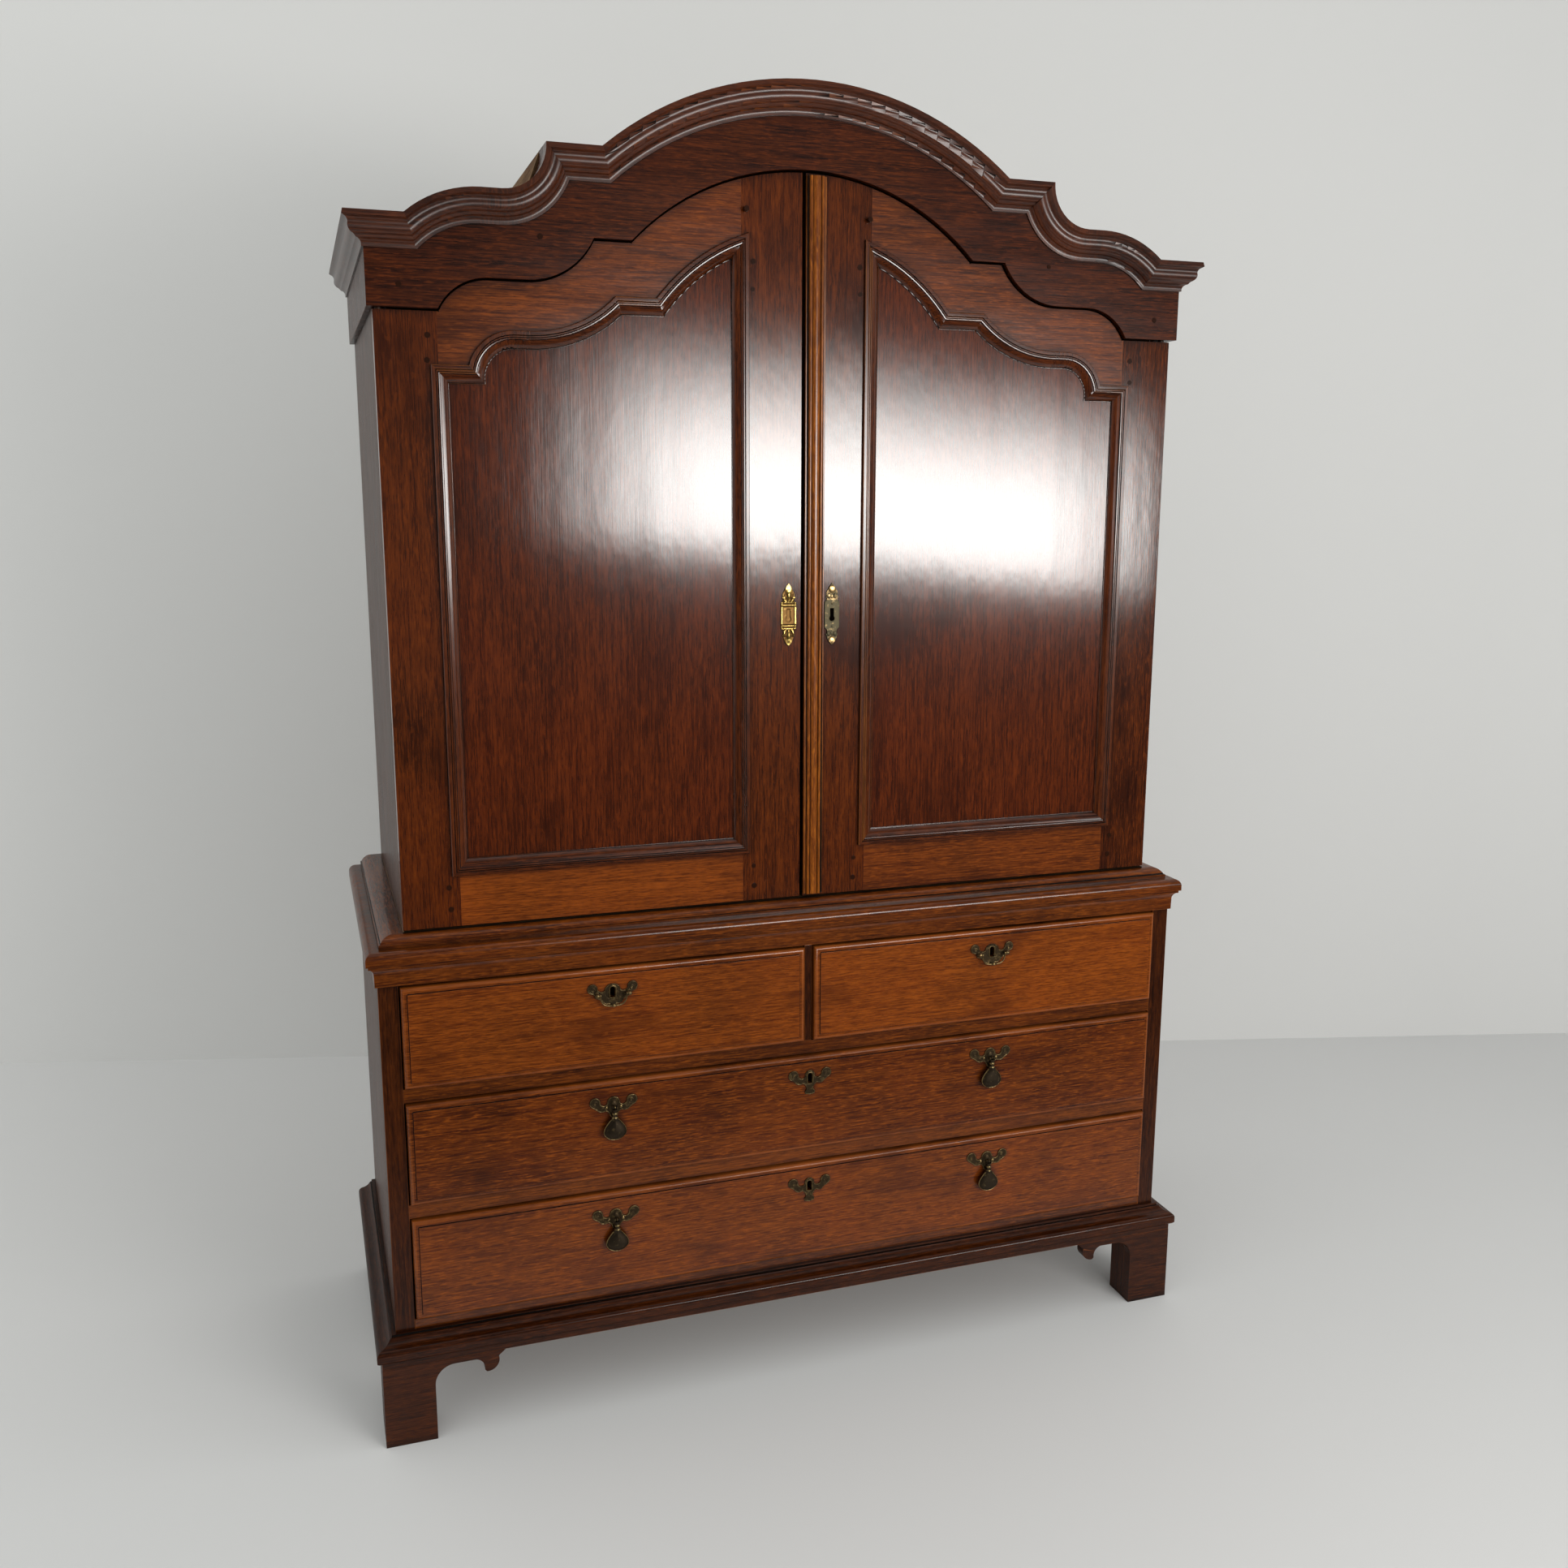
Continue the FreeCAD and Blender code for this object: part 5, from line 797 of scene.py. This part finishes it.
class Metal:
    """Gathers castings and turned pieces into one mesh, with the places that wear keeps bright."""

    def __init__(self):
        self.places = []
        self.faces = []
        self.wear = []

    def vertex(self, x, y, z, wear):
        self.places.append((x, y, z))
        self.wear.append(wear)
        return len(self.places) - 1

    def cast(self, outlines, depth, front, back=None):
        """A casting between its outlines. front and back give height and wear at (x, z) and the
        distance from the nearest edge; without a back it lies flat on the depth."""
        edges = [stepped_out(loop, CAST_STEP) for loop in outlines]
        rim = [point for loop in edges for point in loop]
        near = KDTree(len(rim))
        for index, point in enumerate(rim):
            near.insert((*point, 0.0), index)
        near.balance()
        reach = lambda point: near.find((*point, 0.0))[2]
        spots = [Vector(point) for point in rim]
        for loop in edges:
            for before, point, after in zip(loop[-1:] + loop[:-1], loop, loop[1:] + loop[:1]):
                across = Vector((before[1] - after[1], after[0] - before[0])).normalized()
                for inset in EDGE_ROWS:
                    for side in (inset, -inset):
                        spot = Vector(point) + side * across
                        if reach(spot) > 0.97 * inset and self.within(outlines, *spot):
                            spots.append(spot)
        low = [min(point[axis] for point in rim) for axis in (0, 1)]
        high = [max(point[axis] for point in rim) for axis in (0, 1)]
        row = 0
        z = low[1]
        while z < high[1]:
            x = low[0] + (row % 2) * CAST_STEP / 2
            while x < high[0]:
                if reach((x, z)) > EDGE_ROWS[-1] + 0.45 * CAST_STEP and self.within(outlines, x, z):
                    spots.append(Vector((x, z)))
                x += CAST_STEP
            row += 1
            z += 0.866 * CAST_STEP
        bounds = []
        first = 0
        for loop in edges:
            count = len(loop)
            bounds += [(first + index, first + (index + 1) % count) for index in range(count)]
            first += count
        flat, _, cells, _, _, _ = delaunay_2d_cdt(spots, bounds, [], 0, 1e-7)
        cells = [cell for cell in cells
                 if self.within(outlines, sum(flat[i].x for i in cell) / 3,
                                sum(flat[i].y for i in cell) / 3)]
        sides = []
        for way, height in ((-1.0, front), (1.0, back)):
            row = []
            for spot in flat:
                lift, wear = height(spot.x, spot.y, reach(spot)) if height else (0.0, 0.0)
                row.append(self.vertex(spot.x, depth + way * lift, spot.y, wear))
            sides.append(row)
        shared = {}
        for cell in cells:
            if (flat[cell[1]] - flat[cell[0]]).cross(flat[cell[2]] - flat[cell[0]]) < 0.0:
                cell = cell[::-1]
            self.faces.append([sides[0][index] for index in cell])
            self.faces.append([sides[1][index] for index in reversed(cell)])
            for start, end in zip(cell, cell[1:] + cell[:1]):
                if (end, start) in shared:
                    del shared[end, start]
                else:
                    shared[start, end] = True
        for start, end in shared:
            self.faces.append([sides[0][end], sides[0][start], sides[1][start], sides[1][end]])

    @staticmethod
    def within(outlines, x, z):
        return (inside(outlines[0], x, z)
                and not any(inside(hole, x, z) for hole in outlines[1:]))

    def turned(self, start, axis, profile, wear=0.3, around=20, ring=False):
        """Turns a profile of (distance along, radius) round an axis. A ring's profile closes."""
        axis = Vector(axis).normalized()
        aside = axis.orthogonal().normalized()
        other = axis.cross(aside)
        rows = []
        for along, radius in profile:
            middle = Vector(start) + along * axis
            if radius < 1e-7:
                rows.append([self.vertex(*middle, wear)] * around)
                continue
            turn = [2 * math.pi * index / around for index in range(around)]
            rows.append([self.vertex(*(middle + radius * (math.cos(a) * aside
                                                           + math.sin(a) * other)), wear)
                         for a in turn])
        pairs = list(zip(rows, rows[1:] + rows[:1])) if ring else list(zip(rows, rows[1:]))
        for below, above in pairs:
            for index in range(around):
                after = (index + 1) % around
                corners = [below[index], below[after], above[after], above[index]]
                whole = [corner for at, corner in enumerate(corners) if corner not in corners[:at]]
                if len(whole) > 2:
                    self.faces.append(whole)

    def rod(self, path, radii, wear=0.6, around=12):
        """A bent rod through the path, closed by its rounded ends."""
        spots = [Vector(spot) for spot in path]
        rows = []
        aside = Vector((0.0, 1.0, 0.0))
        for index, (spot, radius) in enumerate(zip(spots, radii)):
            way = (spots[min(index + 1, len(spots) - 1)] - spots[max(index - 1, 0)]).normalized()
            other = way.cross(aside).normalized()
            turn = [2 * math.pi * step / around for step in range(around)]
            rows.append([self.vertex(*(spot + radius * (math.cos(a) * aside
                                                         + math.sin(a) * other)), wear)
                         for a in turn])
        for below, above in zip(rows, rows[1:]):
            for index in range(around):
                after = (index + 1) % around
                self.faces.append([below[index], below[after], above[after], above[index]])
        self.faces.append(rows[0][::-1])
        self.faces.append(rows[-1])

    def finished(self, name, material):
        mesh = bpy.data.meshes.new(name)
        mesh.from_pydata(self.places, [], self.faces)
        wear = mesh.attributes.new("wear", "FLOAT", "POINT")
        wear.data.foreach_set("value", self.wear)
        mesh.materials.append(material)
        mesh.shade_smooth()
        mesh.set_sharp_from_angle(angle=math.radians(CAST_SMOOTH))
        shell = bmesh.new()
        shell.from_mesh(mesh)
        bmesh.ops.recalc_face_normals(shell, faces=shell.faces[:])
        shell.to_mesh(mesh)
        shell.free()
        made = bpy.data.objects.new(name, mesh)
        bpy.context.scene.collection.objects.link(made)
        return made


def barrel(half, radius, hole=0.0):
    """Profile of a rounded barrel along its axis, drilled where it has a hole."""
    turn = [math.radians(degrees) for degrees in (90, 60, 30, 0)]
    ease = min(0.45 * radius, half)
    left = [(-half + ease * (1 - math.sin(a)), radius - ease * (1 - math.cos(a))) for a in turn]
    right = [(-along, reach) for along, reach in reversed(left)]
    return [(-half, hole)] + left + right + [(half, hole)]


def stub(start, end, radius):
    """Profile of a plain pin from one distance along its axis to another."""
    return [(start, 0.0), (start, radius), (end, radius), (end, 0.0)]


def falling(value, start, end):
    """1 before the start, 0 past the end, and smooth between."""
    share = min(1.0, max(0.0, (end - value) / (end - start)))
    return share * share * (3.0 - 2.0 * share)


def rounded_edge(edge, height, ease):
    """Height of a plate whose edge is rounded over this width."""
    if edge >= ease:
        return height
    return height - ease * (1.0 - math.sqrt(max(0.0, 1.0 - (1.0 - edge / ease) ** 2)))


def dome(x, z, middle_x, middle_z, half_x, half_z, height):
    """Height at (x, z) of an oval dome."""
    share = 1.0 - ((x - middle_x) / half_x) ** 2 - ((z - middle_z) / half_z) ** 2
    return height * math.sqrt(share) if share > 0.0 else 0.0


PLATE = 1.8 * MM               # thickness of the cast plates
KEY_OVER_BAIL = 2.0 * MM       # from a bail's pivot up to the middle of its plate
KEY_OVER_DROP = 3.0 * MM
BAIL_LOBE = (33.6 * MM, 5.8 * MM)    # middle of each plate's end lobe, from the plate's own
KEY_LOBE = (30.4 * MM, 6.2 * MM)
DROP_LOBE = (31.4 * MM, 6.6 * MM)


def lobed_relief(x, z, key, lobe):
    """Relief of the drawers' cast plates about their middle: a raised rim, ringed lobes and a
    bead round the key slot or a boss behind the drop."""
    def height(px, pz, edge):
        across = abs(px - x)
        up = pz - z
        lift = rounded_edge(edge, PLATE, 0.7 * MM)
        rim = falling(edge, 1.2 * MM, 2.0 * MM)
        lift += 0.35 * MM * rim * falling(0.5 * MM, edge, 0.9 * MM)
        out = math.hypot(across - lobe[0], up - lobe[1])
        ringed = falling(out, 5.4 * MM, 7.0 * MM)
        lift += ringed * 0.30 * MM * math.cos(out * 2 * math.pi / (3.1 * MM))
        scroll = math.hypot(across - 20.0 * MM, up + 3.0 * MM)
        lift += 0.35 * MM * falling(scroll, 2.0 * MM, 4.5 * MM)
        wear = 0.15 + 0.4 * rim + 0.25 * ringed * (out < 2.0 * MM)
        if key:
            beside = math.hypot(max(0.0, across - 0.5 * MM), max(0.0, abs(up) - 5.5 * MM))
            bead = falling(abs(beside - 5.4 * MM), 0.5 * MM, 1.3 * MM)
            lift += 0.55 * MM * bead
            groove = falling(abs(math.hypot(across, up) - 12.2 * MM), 0.2 * MM, 0.7 * MM)
            lift -= 0.30 * MM * groove * falling(out, 12.0 * MM, 9.0 * MM)
            wear += 0.35 * bead
        else:
            boss = dome(across, up, 0.0, -2.5 * MM, 7.2 * MM, 13.0 * MM, 3.6 * MM)
            lift += boss
            beads = dome(across, up, 12.5 * MM, -3.5 * MM, 2.6 * MM, 2.6 * MM, 1.1 * MM)
            lift += beads
            wear += 0.9 * (beads > 0.3 * MM) + 0.2 * falling(edge, 1.0 * MM, 3.0 * MM)
        return lift, wear
    return height


def lock_case(node, triangles):
    """The iron lock case behind a drawer's front keeps its shape, with its arrises taken off."""
    board = welded(triangles)
    eased(board, FINE_ARRIS, 1)
    gathered = Pieces()
    gathered.add(board)
    board.free()
    case = gathered.finished(node + "_lock_case", FINISHES["iron"])
    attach(case, BODY_OF[node])


def pivot_of(body):
    """The middle of the pin that a body turns on."""
    return Vector(JOINT_OF[body]["pos_m"])


POST_OUT = 27.5 * MM           # from the middle of a bail to each of its posts
POST_STEM = [(0.0, 0.0), (0.0, 4.6), (1.0, 4.6), (1.7, 3.2), (3.0, 2.4), (5.4, 2.2), (5.4, 0.0)]


def bail_posts(metal, pivot, face_y):
    """A post at each end of the bail, with a drilled knuckle on a turned stem."""
    stem = [(along * MM, radius * MM) for along, radius in POST_STEM]
    for side in (-1.0, 1.0):
        x = pivot.x + side * POST_OUT
        metal.turned((x, face_y, pivot.z), (0, -1, 0), stem, 0.35)
        metal.turned((x, pivot.y, pivot.z), (1, 0, 0), barrel(3.2 * MM, 3.7 * MM, 1.58 * MM),
                     0.75, 24, ring=True)


def smoothed(points, parts):
    """Points on a smooth line through the given ones."""
    ends = [points[0]] + points + [points[-1]]
    line = []
    for before, start, end, after in zip(ends, ends[1:], ends[2:], ends[3:]):
        for part in range(parts):
            t = part / parts
            line.append(tuple(0.5 * (2 * s + (e - b) * t + (2 * b - 5 * s + 4 * e - a) * t * t
                                     + (3 * s - b - 3 * e + a) * t ** 3)
                              for b, s, e, a in zip(before, start, end, after)))
    return line + [points[-1]]


BAIL_LINE = [(23.0, 0.0), (22.8, -3.0), (22.2, -6.5), (21.2, -10.2), (19.2, -13.9),
             (16.2, -16.9), (12.2, -18.6), (8.0, -19.3), (4.0, -19.4), (0.0, -19.4)]
BAIL_ENDS, BAIL_FOOT = BAIL_LINE[0][0], BAIL_LINE[-1][1]    # millimetres off the pivot
BAIL_WIRE = (1.25, 0.35)       # its radius at the ends, and how much more it has in the middle


def bail(body, node):
    """The bent brass handle: thin, thicker towards its middle bead, its pins in the posts."""
    pivot = pivot_of(body)
    half = smoothed(BAIL_LINE, 3)
    path = [(pivot.x + across * MM, pivot.y, pivot.z + up * MM) for across, up in half]
    path += [(2 * pivot.x - x, y, z) for x, y, z in reversed(path[:-1])]
    thin, thicker = BAIL_WIRE
    radii = [(thin + thicker * (1.0 - across / BAIL_ENDS)) * MM for across, _ in half]
    radii += list(reversed(radii[:-1]))
    metal = Metal()
    metal.rod(path, radii, 0.95)
    low = pivot + Vector((0.0, 0.0, BAIL_FOOT * MM))
    metal.turned(low, (1, 0, 0), barrel(2.6 * MM, 2.9 * MM), 1.0)
    for side in (-1.0, 1.0):
        metal.turned(low + Vector((side * 4.2 * MM, 0.0, 0.0)), (1, 0, 0),
                     barrel(0.8 * MM, 2.2 * MM), 0.9)
        end = pivot + Vector((side * BAIL_ENDS * MM, 0.0, 0.0))
        metal.turned(end, (1, 0, 0), barrel(1.7 * MM, 2.5 * MM), 0.9)
        metal.turned(end, (side, 0, 0), stub(0.0, 8.6 * MM, 1.45 * MM), 0.6, 12)
    stand_for(metal.finished(node + "_cast", FINISHES["dark_brass"]), node)


# The drop's half width at each depth below its pivot, in millimetres.
DROP_HALVES = [(0.0, 5.0), (3.5, 5.0), (5.5, 4.2), (7.5, 3.3), (9.0, 3.2), (10.0, 4.6),
               (12.2, 4.9), (13.4, 3.7), (15.0, 3.4), (16.4, 4.3), (17.2, 5.2), (18.6, 5.6),
               (20.5, 6.6), (23.5, 8.8), (27.0, 11.6), (31.0, 14.8), (35.0, 17.4), (39.0, 19.4),
               (43.0, 20.3), (46.5, 20.2), (50.0, 18.9), (53.5, 16.3), (56.5, 12.6), (58.6, 8.4),
               (59.7, 4.4), (60.0, 0.0)]
EAR_TOP = (4.9, 3.8)           # its first corner, beside the tongue that it hangs from
EAR_OUT = 3.75 * MM            # from the middle of a drop to each of its ears
PEAR_TOP = 18.6                # where the flat pear begins
PEAR_FULL = (5.6, 4.6)         # how far its front and its back swell


def drop_half_width(down):
    """Half width of the drop at a depth below its pivot, both in millimetres."""
    for (top, wide), (foot, next_wide) in zip(DROP_HALVES, DROP_HALVES[1:]):
        if down <= foot:
            return wide + (next_wide - wide) * (down - top) / (foot - top)
    return 0.0


def drop_relief(pivot, fullness):
    """Round neck and beads above, a domed pear with a bright rim below."""
    def height(x, z, edge):
        down = (pivot.z - z) / MM
        across = abs(x - pivot.x) / MM
        half = drop_half_width(down)
        neck = 0.92 * math.sqrt(max(0.0, half * half - across * across))
        neck = min(neck, 3.2) if down < 7.0 else neck
        rim = 1.5 * math.sqrt(max(0.0, 1.0 - (1.0 - min(1.0, edge / (1.0 * MM))) ** 2))
        field = max(0.0, edge / MM - 1.7)
        swell = fullness * (1.0 - math.exp(-field / 6.5)) * 1.22
        pear = rim - 0.6 * falling(abs(edge / MM - 1.8), 0.2, 0.9) + swell
        share = 1.0 - falling(down, PEAR_TOP, PEAR_TOP + 6.0)
        lift = neck + (pear - neck) * share
        bright = falling(edge / MM, 1.2, 2.0) * share
        bead = (9.4 < down < 12.8) or (16.8 < down < 19.0)
        return lift * MM, 0.05 + 0.95 * bright + 0.75 * bead
    return height


def drop(body, node):
    """A pear-shaped drop on a beaded neck, with two ears on its pin."""
    pivot = pivot_of(body)
    ear, ear_down = EAR_TOP
    halves = [(ear_down, ear)] + [(down, half) for down, half in DROP_HALVES if down > ear_down]
    right = [(pivot.x + half * MM, pivot.z - down * MM) for down, half in halves]
    left = [(2 * pivot.x - x, z) for x, z in reversed(right[:-1])]
    metal = Metal()
    metal.cast([right + left], pivot.y, *(drop_relief(pivot, full) for full in PEAR_FULL))
    for side in (-1.0, 1.0):
        middle = pivot + Vector((side * EAR_OUT, 0.0, 0.0))
        metal.turned(middle, (1, 0, 0), barrel(1.4 * MM, 3.3 * MM), 0.3, 24)
        metal.turned(middle, (0, 0, -1), stub(0.0, 5.4 * MM, 1.4 * MM), 0.2, 12)
    metal.turned(pivot, (1, 0, 0), stub(-3.0 * MM, 3.0 * MM, 1.5 * MM), 0.4, 12)
    stand_for(metal.finished(node + "_cast", FINISHES["drop_brass"]), node)


def drop_tongue(metal, pivot, face_y):
    """The drilled tongue on the back plate that the drop's pin runs through."""
    metal.turned(pivot, (1, 0, 0), barrel(1.9 * MM, 3.4 * MM, 1.66 * MM), 0.3, 24, ring=True)
    root = pivot + Vector((0.0, 2.4 * MM, 0.0))
    metal.turned(root, (0, 1, 0), [(0.0, 0.0), (0.0, 1.8 * MM), (face_y - root.y, 2.0 * MM),
                                   (face_y - root.y, 0.0)], 0.2, 16)


def short_drawer_fittings(side):
    """Bat-wing plate with its key hole, the bail on its two posts, and the lock behind."""
    drawer = "short_drawer_" + side
    node = drawer + "_fittings"
    face_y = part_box(drawer + "_front")[0][1]
    plate, case = solids_of(node)
    pivot = pivot_of("short_bail_" + side)
    metal = Metal()
    metal.cast(flat_outlines(plate, face_y), face_y,
               lobed_relief(pivot.x, pivot.z + KEY_OVER_BAIL, True, BAIL_LOBE))
    bail_posts(metal, pivot, face_y - PLATE)
    stand_for(metal.finished(node + "_cast", FINISHES["dark_brass"]), node)
    lock_case(node, case)
    bail("short_bail_" + side, drawer + "_bail")


def long_drawer_fittings(row):
    """Winged plates with a drop each, the key plate between them, and the lock behind."""
    drawer = "long_drawer_" + row
    node = drawer + "_fittings"
    face_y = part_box(drawer + "_front")[0][1]
    key_plate, case, left_plate, right_plate = solids_of(node)
    metal = Metal()
    key_z = pivot_of("long_" + row + "_drop_left").z + KEY_OVER_DROP
    metal.cast(flat_outlines(key_plate, face_y), face_y,
               lobed_relief(0.0, key_z, True, KEY_LOBE))
    for side, plate in (("left", left_plate), ("right", right_plate)):
        body = "long_" + row + "_drop_" + side
        pivot = pivot_of(body)
        metal.cast(flat_outlines(plate, face_y), face_y,
                   lobed_relief(pivot.x, pivot.z, False, DROP_LOBE))
        drop_tongue(metal, pivot, face_y - PLATE)
        drop(body, drawer + "_drop_" + side)
    stand_for(metal.finished(node + "_cast", FINISHES["dark_brass"]), node)
    lock_case(node, case)


def leaf_relief(x, z, full):
    """Relief of a door's escutcheon about its middle. The full one has a bright raised rim round
    a sunk field and a shell at each end; the other is worn flat and keeps its polished tips."""
    def height(px, pz, edge):
        across = abs(px - x) / MM
        up = (pz - z) / MM
        end = abs(up) - 23.0
        lift = rounded_edge(edge, PLATE, 0.6 * MM)
        wear = 0.3
        if full:
            if end < 0.0:
                rim = falling(edge / MM, 2.4, 3.1)
                lift += (1.5 * rim - 0.7) * MM
                wear = 0.05 + 1.2 * rim
                if abs(up) > 15.0:
                    band = math.cos((abs(up) - 17.5) * 1.3)
                    lift += 0.5 * MM * band
                    wear += 0.4 + 0.5 * band
            else:
                turn = math.atan2(across, end + 5.0)
                flute = math.cos(turn * 9.0)
                lift += (0.6 + 0.7 * flute * falling(abs(end - 10.0), 8.0, 15.0)) * MM
                lift += dome(across, end, 0.0, 11.0, 3.6, 6.0, 1.3) * MM
                lift += dome(across, end, 6.4, 9.0, 3.2, 4.0, 1.0) * MM
                wear = 0.5 + 0.8 * flute
        else:
            lift += 0.25 * MM * falling(edge / MM, 0.9, 1.6)
            pin = math.hypot(across, abs(up) - 19.5)
            lift += 0.5 * dome(pin, 0.0, 0.0, 0.0, 1.6, 1.6, 1.0) * MM
            tip = dome(across, end, 0.0, 21.0, 6.4, 7.0, 1.8)
            lift += tip * MM
            lift += dome(across, end, 5.8, 9.6, 3.4, 4.4, 1.0) * MM
            lift += dome(across, end, 0.0, 9.0, 2.4, 4.0, 0.7) * MM
            wear = 0.1 + 1.2 * (tip > 0.2) + 0.35 * (end > 2.0) * (up > 0.0)
        return lift, wear
    return height


ESCUTCHEON_MIDDLE = 52.0 * MM  # above the foot of the plate


def door_escutcheons():
    """The left one is bright and its key hole is blind; the right one is worn and grey."""
    for side, full, finish in (("left", True, "door_brass"), ("right", False, "grey_brass")):
        node = side + "_door_escutcheon"
        low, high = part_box(node)
        (plate,) = solids_of(node)
        middle = ((low[0] + high[0]) / 2, low[2] + ESCUTCHEON_MIDDLE)
        relief = leaf_relief(*middle, full)
        if full:
            relief = blind_key_hole(relief, *middle)
        metal = Metal()
        metal.cast(flat_outlines(plate, high[1]), high[1], relief)
        stand_for(metal.finished(node + "_cast", FINISHES[finish]), node)


def blind_key_hole(relief, x, z):
    """Sinks a key hole that doesn't go through into a relief."""
    def height(px, pz, edge):
        lift, wear = relief(px, pz, edge)
        across = abs(px - x) / MM
        up = (pz - z) / MM
        eye = math.hypot(across, up + 6.2) - 4.8
        slot = max(across - 3.3, up - 11.0, -up - 6.2)
        hole = falling(min(eye, slot), -0.5, 0.3)
        return lift + hole * (0.5 * MM - lift), wear * (1.0 - hole)
    return height


# ---------------------------------------------------------------- pegs

PEG_WIDTH = 8.0 * MM
PEG_LENGTH = 6.0 * MM
PEG_PROUD = 0.5 * MM           # how far a peg stands out of its joint
PEG_SEED = 3
DOOR_PEGS = ((0.615, 1.834), (0.617, 1.797), (0.618, 0.962), (0.616, 0.925),
             (0.093, 1.968), (0.094, 1.925), (0.094, 0.958), (0.093, 0.922))
FRIEZE_PEGS = ((-0.107, 2.047), (0.107, 2.043), (-0.655, 1.905), (0.655, 1.905),
               (-0.44, 1.985), (0.44, 1.985))


def peg_tree(material):
    """Geometry Nodes: a faceted oak peg at every point, each turned and sized a little apart."""
    tree = bpy.data.node_groups.new("pegs", "GeometryNodeTree")
    sizes = (("Peg Width", PEG_WIDTH), ("Peg Length", PEG_LENGTH))
    tree.interface.new_socket("Places", in_out="INPUT", socket_type="NodeSocketGeometry")
    for name, value in sizes:
        socket = tree.interface.new_socket(name, in_out="INPUT", socket_type="NodeSocketFloat")
        socket.default_value = value
    seed = tree.interface.new_socket("Seed", in_out="INPUT", socket_type="NodeSocketInt")
    seed.default_value = PEG_SEED
    tree.interface.new_socket("Pegs", in_out="OUTPUT", socket_type="NodeSocketGeometry")

    def node(kind, **inputs):
        made = tree.nodes.new(kind)
        for name, value in inputs.items():
            socket = made.inputs[name.replace("_", " ")]
            if isinstance(value, bpy.types.NodeSocket):
                tree.links.new(value, socket)
            else:
                socket.default_value = value
        return made

    given = tree.nodes.new("NodeGroupInput").outputs
    half = node("ShaderNodeMath")
    half.operation = "MULTIPLY"
    tree.links.new(given["Peg Width"], half.inputs[0])
    half.inputs[1].default_value = 0.5
    peg = node("GeometryNodeMeshCylinder", Vertices=9, Radius=half.outputs[0],
               Depth=given["Peg Length"])
    turn = node("FunctionNodeRandomValue")
    turn.data_type = "FLOAT_VECTOR"
    turn.inputs["Min"].default_value = (math.pi / 2, 0.0, 0.0)
    turn.inputs["Max"].default_value = (math.pi / 2, 0.7, 0.0)
    size = node("FunctionNodeRandomValue")
    size.data_type = "FLOAT"
    size.inputs[2].default_value = 0.85
    size.inputs[3].default_value = 1.15
    for random_value in (turn, size):
        seed_socket = next(socket for socket in random_value.inputs if socket.name == "Seed")
        tree.links.new(given["Seed"], seed_socket)
    grown = node("ShaderNodeCombineXYZ", Z=1.0)
    tree.links.new(size.outputs[1], grown.inputs[0])
    tree.links.new(size.outputs[1], grown.inputs[1])
    placed = node("GeometryNodeInstanceOnPoints", Points=given["Places"],
                  Instance=peg.outputs["Mesh"], Rotation=turn.outputs[0], Scale=grown.outputs[0])
    real = node("GeometryNodeRealizeInstances", Geometry=placed.outputs[0])
    painted = node("GeometryNodeSetMaterial", Geometry=real.outputs[0], Material=material)
    out = tree.nodes.new("NodeGroupOutput")
    tree.links.new(painted.outputs[0], out.inputs[0])
    return tree


def pegs(name, body, face_y, places):
    """Pegs driven into the joints at these places (x, z) of a face, all on one body."""
    depth = face_y - PEG_PROUD + PEG_LENGTH / 2
    mesh = bpy.data.meshes.new(name)
    mesh.from_pydata([(x, depth, z) for x, z in places], [], [])
    made = bpy.data.objects.new(name, mesh)
    bpy.context.scene.collection.objects.link(made)
    grow = made.modifiers.new("pegs", "NODES")
    grow.node_group = PEG_TREE
    applied(made)
    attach(made, body)


def drive_pegs():
    """Two pegs to each joint of the doors, and a few in the frieze."""
    for side, way in (("left", -1.0), ("right", 1.0)):
        door = side + "_door"
        pegs(door + "_pegs", door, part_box(door + "_stiles")[0][1],
             [(way * x, z) for x, z in DOOR_PEGS])
    pegs("frieze_pegs", "case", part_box("frieze")[0][1], FRIEZE_PEGS)


def plain_metal():
    """Bolts, door lock, hinge pins and their plates keep their shape and get forged iron."""
    for node, slot in SLOT_OF.items():
        if slot == "iron":
            mesh = NODES[node].data
            mesh.materials.clear()
            mesh.materials.append(FINISHES["iron"])


set_camera()
set_room()
hang_window()
light_room()
FINISHES = make_finishes()
PEG_TREE = peg_tree(FINISHES["peg"])
dress_doors()
dress_case()
dress_drawers()
for side in ("left", "right"):
    short_drawer_fittings(side)
for row in ("upper", "lower"):
    long_drawer_fittings(row)
door_escutcheons()
drive_pegs()
plain_metal()
